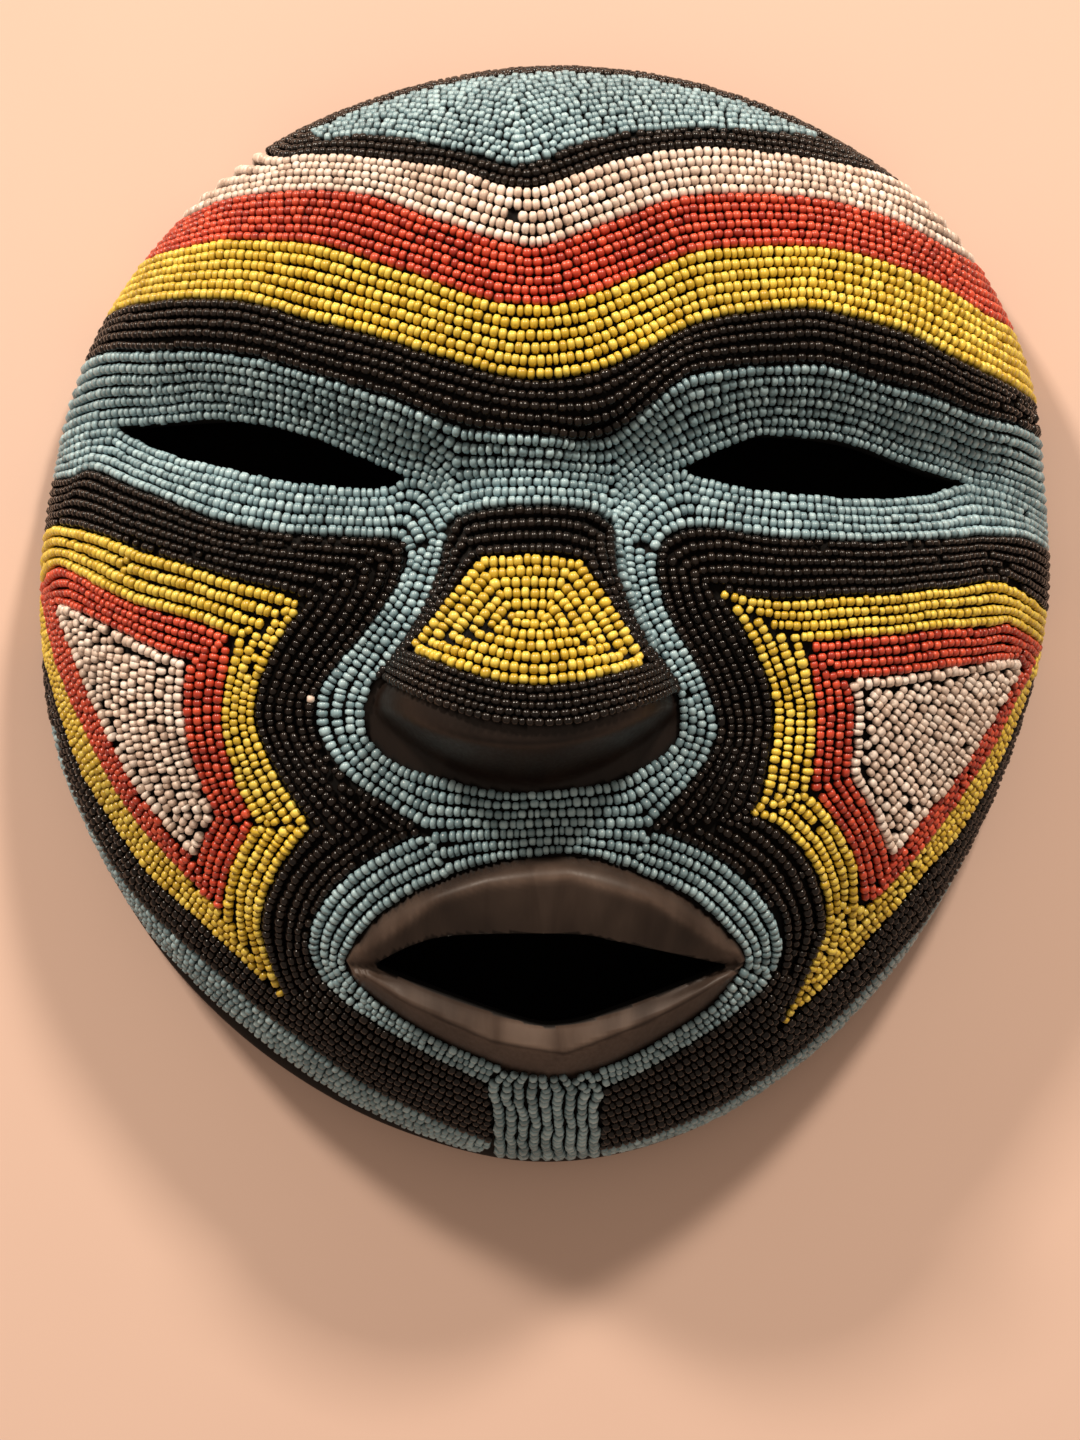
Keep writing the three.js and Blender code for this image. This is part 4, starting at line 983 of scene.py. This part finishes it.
CROWN_SHARE = 0.973    # the crown's blue ends this share of the way out to the edge
crown_turn = np.radians(np.linspace(62, 116, 40))
crown_edge = polar((wood_radius(crown_turn) + BEAD_TOP) * CROWN_SHARE, crown_turn)
crown_shape = np.vstack([flat["crown_v"], unfold(crown_edge)])
FIELDS["crown_blue_beads"] = BLUE, filled([
    strung(layers(flat["crown_v"], 14, 2.6), SHORT_STEP, crown_shape, margin=0.8, wander=0.24)],
    crown_shape, margin=0.7, apart=2.0)
crown_black = flat_line(BLACK_V, [[112, 150], [0, 190], [-100, 160]])
rim_rows = [rim_line(50, 128, LAST_ROW - 0.2 - k * 2.7) for k in range(6)]
FIELDS["crown_black_beads"] = BLACK, filled([
    strung(rim_rows + layers(flat["black_v"], 6), MID_STEP, crown_black, crown_shape, margin=0.8, apart=2.2)],
    crown_black, crown_shape, margin=0.8)
for colour, glass, upper, lower, rows, drop in (
        ("white", WHITE, "black_v", "white_red", 5, 0.001), ("red", RED, "white_red", "red_yellow", 6, 0),
        ("yellow", YELLOW, "red_yellow", "yellow_black", 6, 0.001),
        ("black", BLACK, "yellow_black", "black_blue", 5, 0)):
    FIELDS[f"forehead_{colour}_beads"] = glass, [
        strung(ruled(flat[upper], flat[lower], rows), LONG_STEP, drop=drop)]

upper_low = curves(LEFT_END, LEFT_EYE_TOP, LEFT_SEAM, NOSE_TOP, RIGHT_SEAM, RIGHT_EYE_TOP, RIGHT_END)
FIELDS["upper_lid_blue_beads"] = BLUE, [strung(across(curve(BLACK_BLUE), upper_low, 7), MID_STEP)]


def parted(points, corner):
    """A border cut in two at one of its own points, both parts laid flat."""
    line = curve(points)
    at = nearest_on(line, points[corner - 1])
    return unfold(line[:at + 1]), unfold(line[at:])


left_over, left_beside = parted(LEFT_LID_OUT, LEFT_LID_CORNER)
right_over, right_beside = parted(RIGHT_LID_OUT, RIGHT_LID_CORNER)
left_straight, left_turn = parted(LEFT_LID_OUT[:LEFT_LID_CORNER], LEFT_LID_CORNER - 1)
right_straight, right_turn = parted(RIGHT_LID_OUT[:RIGHT_LID_CORNER], RIGHT_LID_CORNER - 2)
left_nose = flat_line(NOSE_LEFT, NOSTRIL_LEFT)
right_nose = flat_line(NOSE_RIGHT, NOSTRIL_RIGHT)
nose_loop = np.vstack([left_nose, right_nose[::-1]])
nose_sides = np.vstack([nose_loop, right_beside, flat_line(PHILTRUM[::-1]), left_beside[::-1]])
philtrum = flat_line(PHILTRUM)
under_left, under_right = nearest_on(nose_loop, philtrum[0]), nearest_on(nose_loop, philtrum[-1])
nose_strings = joined(4, (nose_loop[:under_left + 1], left_beside),
                      (nose_loop[under_left:under_right + 1], philtrum),
                      (nose_loop[under_right:], right_beside[::-1]))
around_nose = filled([strung(nose_strings, MID_STEP, nose_sides, margin=0.6, apart=1.7)],
                     nose_sides, margin=0.8)
left_strings = joined(5, (flat_line(LEFT_END, LEFT_EYE_LOW), left_straight),
                      (flat_line(LEFT_SEAM), left_turn))
right_strings = joined(5, (flat_line(RIGHT_END[::-1], RIGHT_EYE_LOW[::-1]), right_straight),
                       (flat_line(RIGHT_SEAM[::-1]), right_turn))
for side, hand, strings in ("left", -1, left_strings), ("right", 1, right_strings):
    FIELDS["lower_lid_blue_beads_" + side] = BLUE, [strung(strings, MID_STEP)] + [
        tuple(values[hand * (part[0][:, 0] + 2) > 0] for values in part) for part in around_nose]

FIELDS["nose_black_beads"] = BLACK, [
    strung(ruled(flat["nose_top"], flat["yellow_top"], 4), MID_STEP),
    strung(ruled(flat["nose_left"][::-1], flat["yellow_left"], 3)
           + ruled(flat["nose_right"], flat["yellow_right"], 3), MID_STEP, apart=1.6)]
nose_arch = np.vstack([flat["yellow_left"], flat["yellow_top"], flat["yellow_right"]])
nose_shape = np.vstack([nose_arch, flat["yellow_low"]])
loops = []
for k in range(9):
    loops += beside(nose_arch, -(k + 0.5) * 2.75, [flat["yellow_low"]])
    loops += beside(flat["yellow_low"], -(k + 0.5) * 2.75, [nose_arch])
FIELDS["nose_yellow_beads"] = YELLOW, filled([strung(loops, LONG_STEP, nose_shape, margin=1.0, apart=1.85)],
                                            nose_shape, apart=2.05)
FIELDS["nose_band_black_beads"] = BLACK, [
    strung(ruled(flat["yellow_low"][::-1], flat["band_low"], 5, first=0.4), MID_STEP, apart=1.3, wander=0.06)]

lips = np.vstack([curve(LIP_TOP)[::-1], curves(LIP_LOW_LEFT, LIP_LOW_MIDDLE, LIP_LOW_RIGHT)])
lips_flat = unfold(closed(np.roll(lips, -len(curve(LIP_TOP)) // 2, axis=0)))
ring_shape = flat_line(PHILTRUM, RING_RIGHT, LIP_LOW_MIDDLE[::-1], RING_LEFT[::-1])
ring_halves = {}
lip_halves = {"left": lips_flat[:nearest_on(lips_flat, unfold(np.array([[-2.0, -126.0]]))[0]) + 1]}
lip_halves["right"] = lips_flat[len(lip_halves["left"]) - 1:][::-1]
for side, border, bend in ("left", RING_LEFT, 5), ("right", RING_RIGHT, 4):
    lip = lip_halves[side]
    high, low = parted(border, bend)
    first, turn = nearest_on(lip, high[0]), nearest_on(lip, low[0])
    top = philtrum[:len(philtrum) // 2 + 1][::-1] if side == "left" else philtrum[len(philtrum) // 2:]
    parts = [ruled(lip[:first + 1], top, 3), ruled(lip[first:turn + 1], high, 4), ruled(lip[turn:], low, 3)]
    ring_halves[side] = [np.vstack([part[k] for part in parts if k < len(part)]) for k in range(4)]
ring_strings = [np.vstack([ring_halves["left"][k][::-1], ring_halves["right"][k]]) for k in range(3)]
ring_strings += [ring_halves["left"][3], ring_halves["right"][3]]
FIELDS["mouth_ring_blue_beads"] = BLUE, filled([
    strung(ring_strings, SHORT_STEP, ring_shape, lips_flat, margin=0.55, apart=1.6)],
    ring_shape, lips_flat, margin=0.8, apart=2.1)

low_left = unfold(np.vstack([[[-11.8, -122]], curve(CHIN_LEFT), [[-13.6, -150], [-13.0, -160.0]]]))
low_right = unfold(np.vstack([[[10.5, -123.6]], curve(CHIN_RIGHT), [[15.2, -152], [15.5, -160.0]]]))
columns = ruled(low_left, low_right, 9)
for k, column in enumerate(columns):
    column[:, 0] += 0.3 * np.sin(column[:, 1] / 2.9 + 0.4 * k) + 0.2 * np.sin(column[:, 1] / 1.3 + 2.1 * k)
FIELDS["chin_blue_beads"] = BLUE, [strung([rim_line(265.2, 275.2, LAST_ROW - 0.2)] + columns, MID_STEP)]

FIELDS["jaw_blue_beads_left"] = BLUE, [strung(layers(flat["jaw_left"], 5), MID_STEP)]
FIELDS["jaw_blue_beads_right"] = BLUE, [strung(layers(flat["jaw_right"], 5, side=-1), MID_STEP)]

# along the chin, from the point of the yellow, where the rows of the jaw and the mouth part
LEFT_PART = [[-69, -103.5], [-50, -119.5], [-30, -130], [-14.3, -137.5]]
RIGHT_PART = [[62.5, -111.5], [50, -121.5], [32, -132], [14.8, -139]]

for side, out, ring, chin, jaw, far, yellow, red, white, over, below, bend, middle, foot in (
        ("left", LEFT_LID_OUT, RING_LEFT, CHIN_LEFT, JAW_LEFT, [[-175, 0], [-176, 20]], CHEEK_L_YELLOW,
         CHEEK_L_RED, CHEEK_L_WHITE, left_over, left_beside, 4, LEFT_PART, 5),
        ("right", RIGHT_LID_OUT, RING_RIGHT, CHIN_RIGHT, JAW_RIGHT, [[175, -30], [176, 0]], CHEEK_R_YELLOW,
         CHEEK_R_RED, CHEEK_R_WHITE, right_over, right_beside, 4, RIGHT_PART, 4)):
    whole = flat_line(out, ring, chin, jaw, far)
    edges = [flat_line(*runs) for runs in (yellow, red, white)]
    ring_high, ring_low = parted(ring, bend)
    jaw_low, jaw_high = parted(jaw, foot)
    strings = joined(6, (over, flat_line(yellow[1])), (below, flat_line(yellow[2])))
    strings += joined(5, (ring_high, flat_line(yellow[3])), (ring_low, flat_line(middle)))
    strings += joined(4, (flat_line(yellow[4])[::-1], jaw_high[::-1]), (flat_line(middle), jaw_low[::-1]))
    FIELDS["cheek_black_beads_" + side] = BLACK, filled(
        [strung(strings, MID_STEP, whole, edges[0], margin=0.9, apart=2.0)], whole, edges[0], margin=0.8)
    FIELDS["cheek_yellow_beads_" + side] = YELLOW, filled(
        [nested(yellow[1:], red, 4, MID_STEP, drop=0.001, apart=1.8)], edges[0], edges[1], margin=0.85,
        apart=2.1)
    FIELDS["cheek_red_beads_" + side] = RED, filled(
        [nested(red, white, 4, MID_STEP, apart=1.7)], edges[1], edges[2], apart=2.05)
    patch = edges[2]
    strings = beside(closed(patch), -0.5 * ROW if side == "left" else 0.5 * ROW)
    if side == "left":
        strings += layers(flat_line([[-92, 6], *white[1]], white[2]), 18, ROW, side=-1)
    else:
        strings += layers(flat_line([[85, -74], *white[3], [138, -3]]), 18, 2.85)
    FIELDS["cheek_white_beads_" + side] = WHITE, filled([
        strung(strings, MID_STEP, patch, margin=1.0, apart=2.15, drop=0.006, wander=0.2)], patch, apart=2.25)

# a single white bead strung among the black ones
stray = unfold(np.array([[-60.3, -23.5]]))
FIELDS["cheek_black_beads_left"] = BLACK, [
    tuple(values[np.hypot(*(part[0] - stray).T) > 1.9] for values in part)
    for part in FIELDS["cheek_black_beads_left"][1]]
FIELDS["cheek_white_beads_left"][1].append((stray, np.array([[0.0, 1.0]]), np.array([2.2]), np.array([2.5])))

for node, (material, beads) in FIELDS.items():
    piece = bead_field("strung_" + node, material, beads)
    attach(piece, "root")
    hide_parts(node)

wood = carved_wood()
plugs = [slit_cutter("plug_mouth", curve(MOUTH_TOP), curve(MOUTH_LOW)),
         slit_cutter("plug_left_eye", under_beads(curve(LEFT_EYE_TOP)), under_beads(curve(LEFT_EYE_LOW))),
         slit_cutter("plug_right_eye", under_beads(curve(RIGHT_EYE_TOP)), under_beads(curve(RIGHT_EYE_LOW)))]
cut(wood, plugs)
wood.data.materials.clear()
wood.data.materials.append(dark_wood())
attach(wood, "root")
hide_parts("wood_mask")


def plain_floor():
    """Flat pale ground under the mask with a faint uneven tint: a square 5 m wide."""
    half = 2.5
    corners = [(-half, -half, 0), (half, -half, 0), (half, half, 0), (-half, half, 0)]
    mesh = bpy.data.meshes.new("floor")
    mesh.from_pydata(corners, [], [(0, 1, 2, 3)])
    floor = placed("floor", mesh)
    material, tree, shader = nodes_of("pale_plaster")
    tint = shades(tree, noise(tree, place_on(tree), 6), (0, (0.70, 0.49, 0.40)), (1, (0.75, 0.54, 0.44)))
    give(tree, shader, Base_Color=tint, Roughness=0.9)
    mesh.materials.append(material)


def painted_shade_sheet():
    """Painted shade under the hollow: a black sheet flat on the ground just inside the rim, a fan of the
    rim's outline.
    """
    corners, thick = 64, 0.4
    i = np.arange(corners)
    turn = i / corners * 2 * math.pi
    radius = wood_radius(turn) - WALL - 1.5
    edge = np.column_stack([polar(radius, turn), np.full(corners, thick)])
    shade_sheet = mesh_object("painted_shade_sheet", np.vstack([edge, [[0, 0, thick]]]),
                        np.stack([np.full(corners, corners), i, (i + 1) % corners], 1))
    material, tree, shader = nodes_of("painted_shade_black")
    sheet_speckle = noise(tree, place_on(tree), 900)
    # near-black with faint speckle: painted shade seen through the openings
    tint = shades(tree, sheet_speckle, (0, (0.007, 0.006, 0.006)), (1, (0.014, 0.012, 0.012)))
    give(tree, shader, Base_Color=tint, Roughness=1.0, Specular_IOR_Level=0.0)
    shade_sheet.data.materials.append(material)


# light and camera, in metres
LAMP_POWER, LAMP_SIZE, LAMP_COLOUR = 49, 0.26, (1.0, 0.87, 0.73)
LAMP_AIM = 0, 0, 0.03
ROOM_COLOUR, ROOM_LIGHT = (1.0, 0.80, 0.64, 1), 0.38
CAMERA_HEIGHT = 0.8
CAMERA_X, CAMERA_Y = -1.4, -29.0    # the camera's place over the drawing, millimetres
FILM, FILM_PIXELS, LENS_PIXELS = 36, 1440, 2854


def soft_lamp(name, place):
    """A square soft light over the mask, pointing at it."""
    lamp = bpy.data.lights.new(name, "AREA")
    lamp.energy = LAMP_POWER
    lamp.size = LAMP_SIZE
    lamp.color = LAMP_COLOUR
    holder = placed(name, lamp)
    way = np.array(LAMP_AIM, float) - np.array(place, float)
    holder.location = place
    flat_way = math.hypot(way[0], way[1])
    holder.rotation_euler = (math.atan2(flat_way, -way[2]), 0, math.atan2(way[1], way[0]) - math.pi / 2)


plain_floor()
painted_shade_sheet()
soft_lamp("lamp_left", (-1.13, 1.65, 1.20))
soft_lamp("lamp_right", (0.75, 1.80, 1.32))
world = bpy.data.worlds.new("room")
bpy.context.scene.world = world
world.use_nodes = True
give(world.node_tree, world.node_tree.nodes["Background"], Color=ROOM_COLOUR, Strength=ROOM_LIGHT)
bpy.context.scene.view_settings.view_transform = "Standard"

camera = bpy.data.cameras.new("camera")
camera.sensor_fit = "VERTICAL"
camera.sensor_height = FILM
camera.lens = FILM * LENS_PIXELS / FILM_PIXELS
eye = placed("camera", camera)
eye.location = ((CAMERA_X + SHIFT[0]) / 1000, (CAMERA_Y + SHIFT[1]) / 1000, CAMERA_HEIGHT)
bpy.context.scene.camera = eye
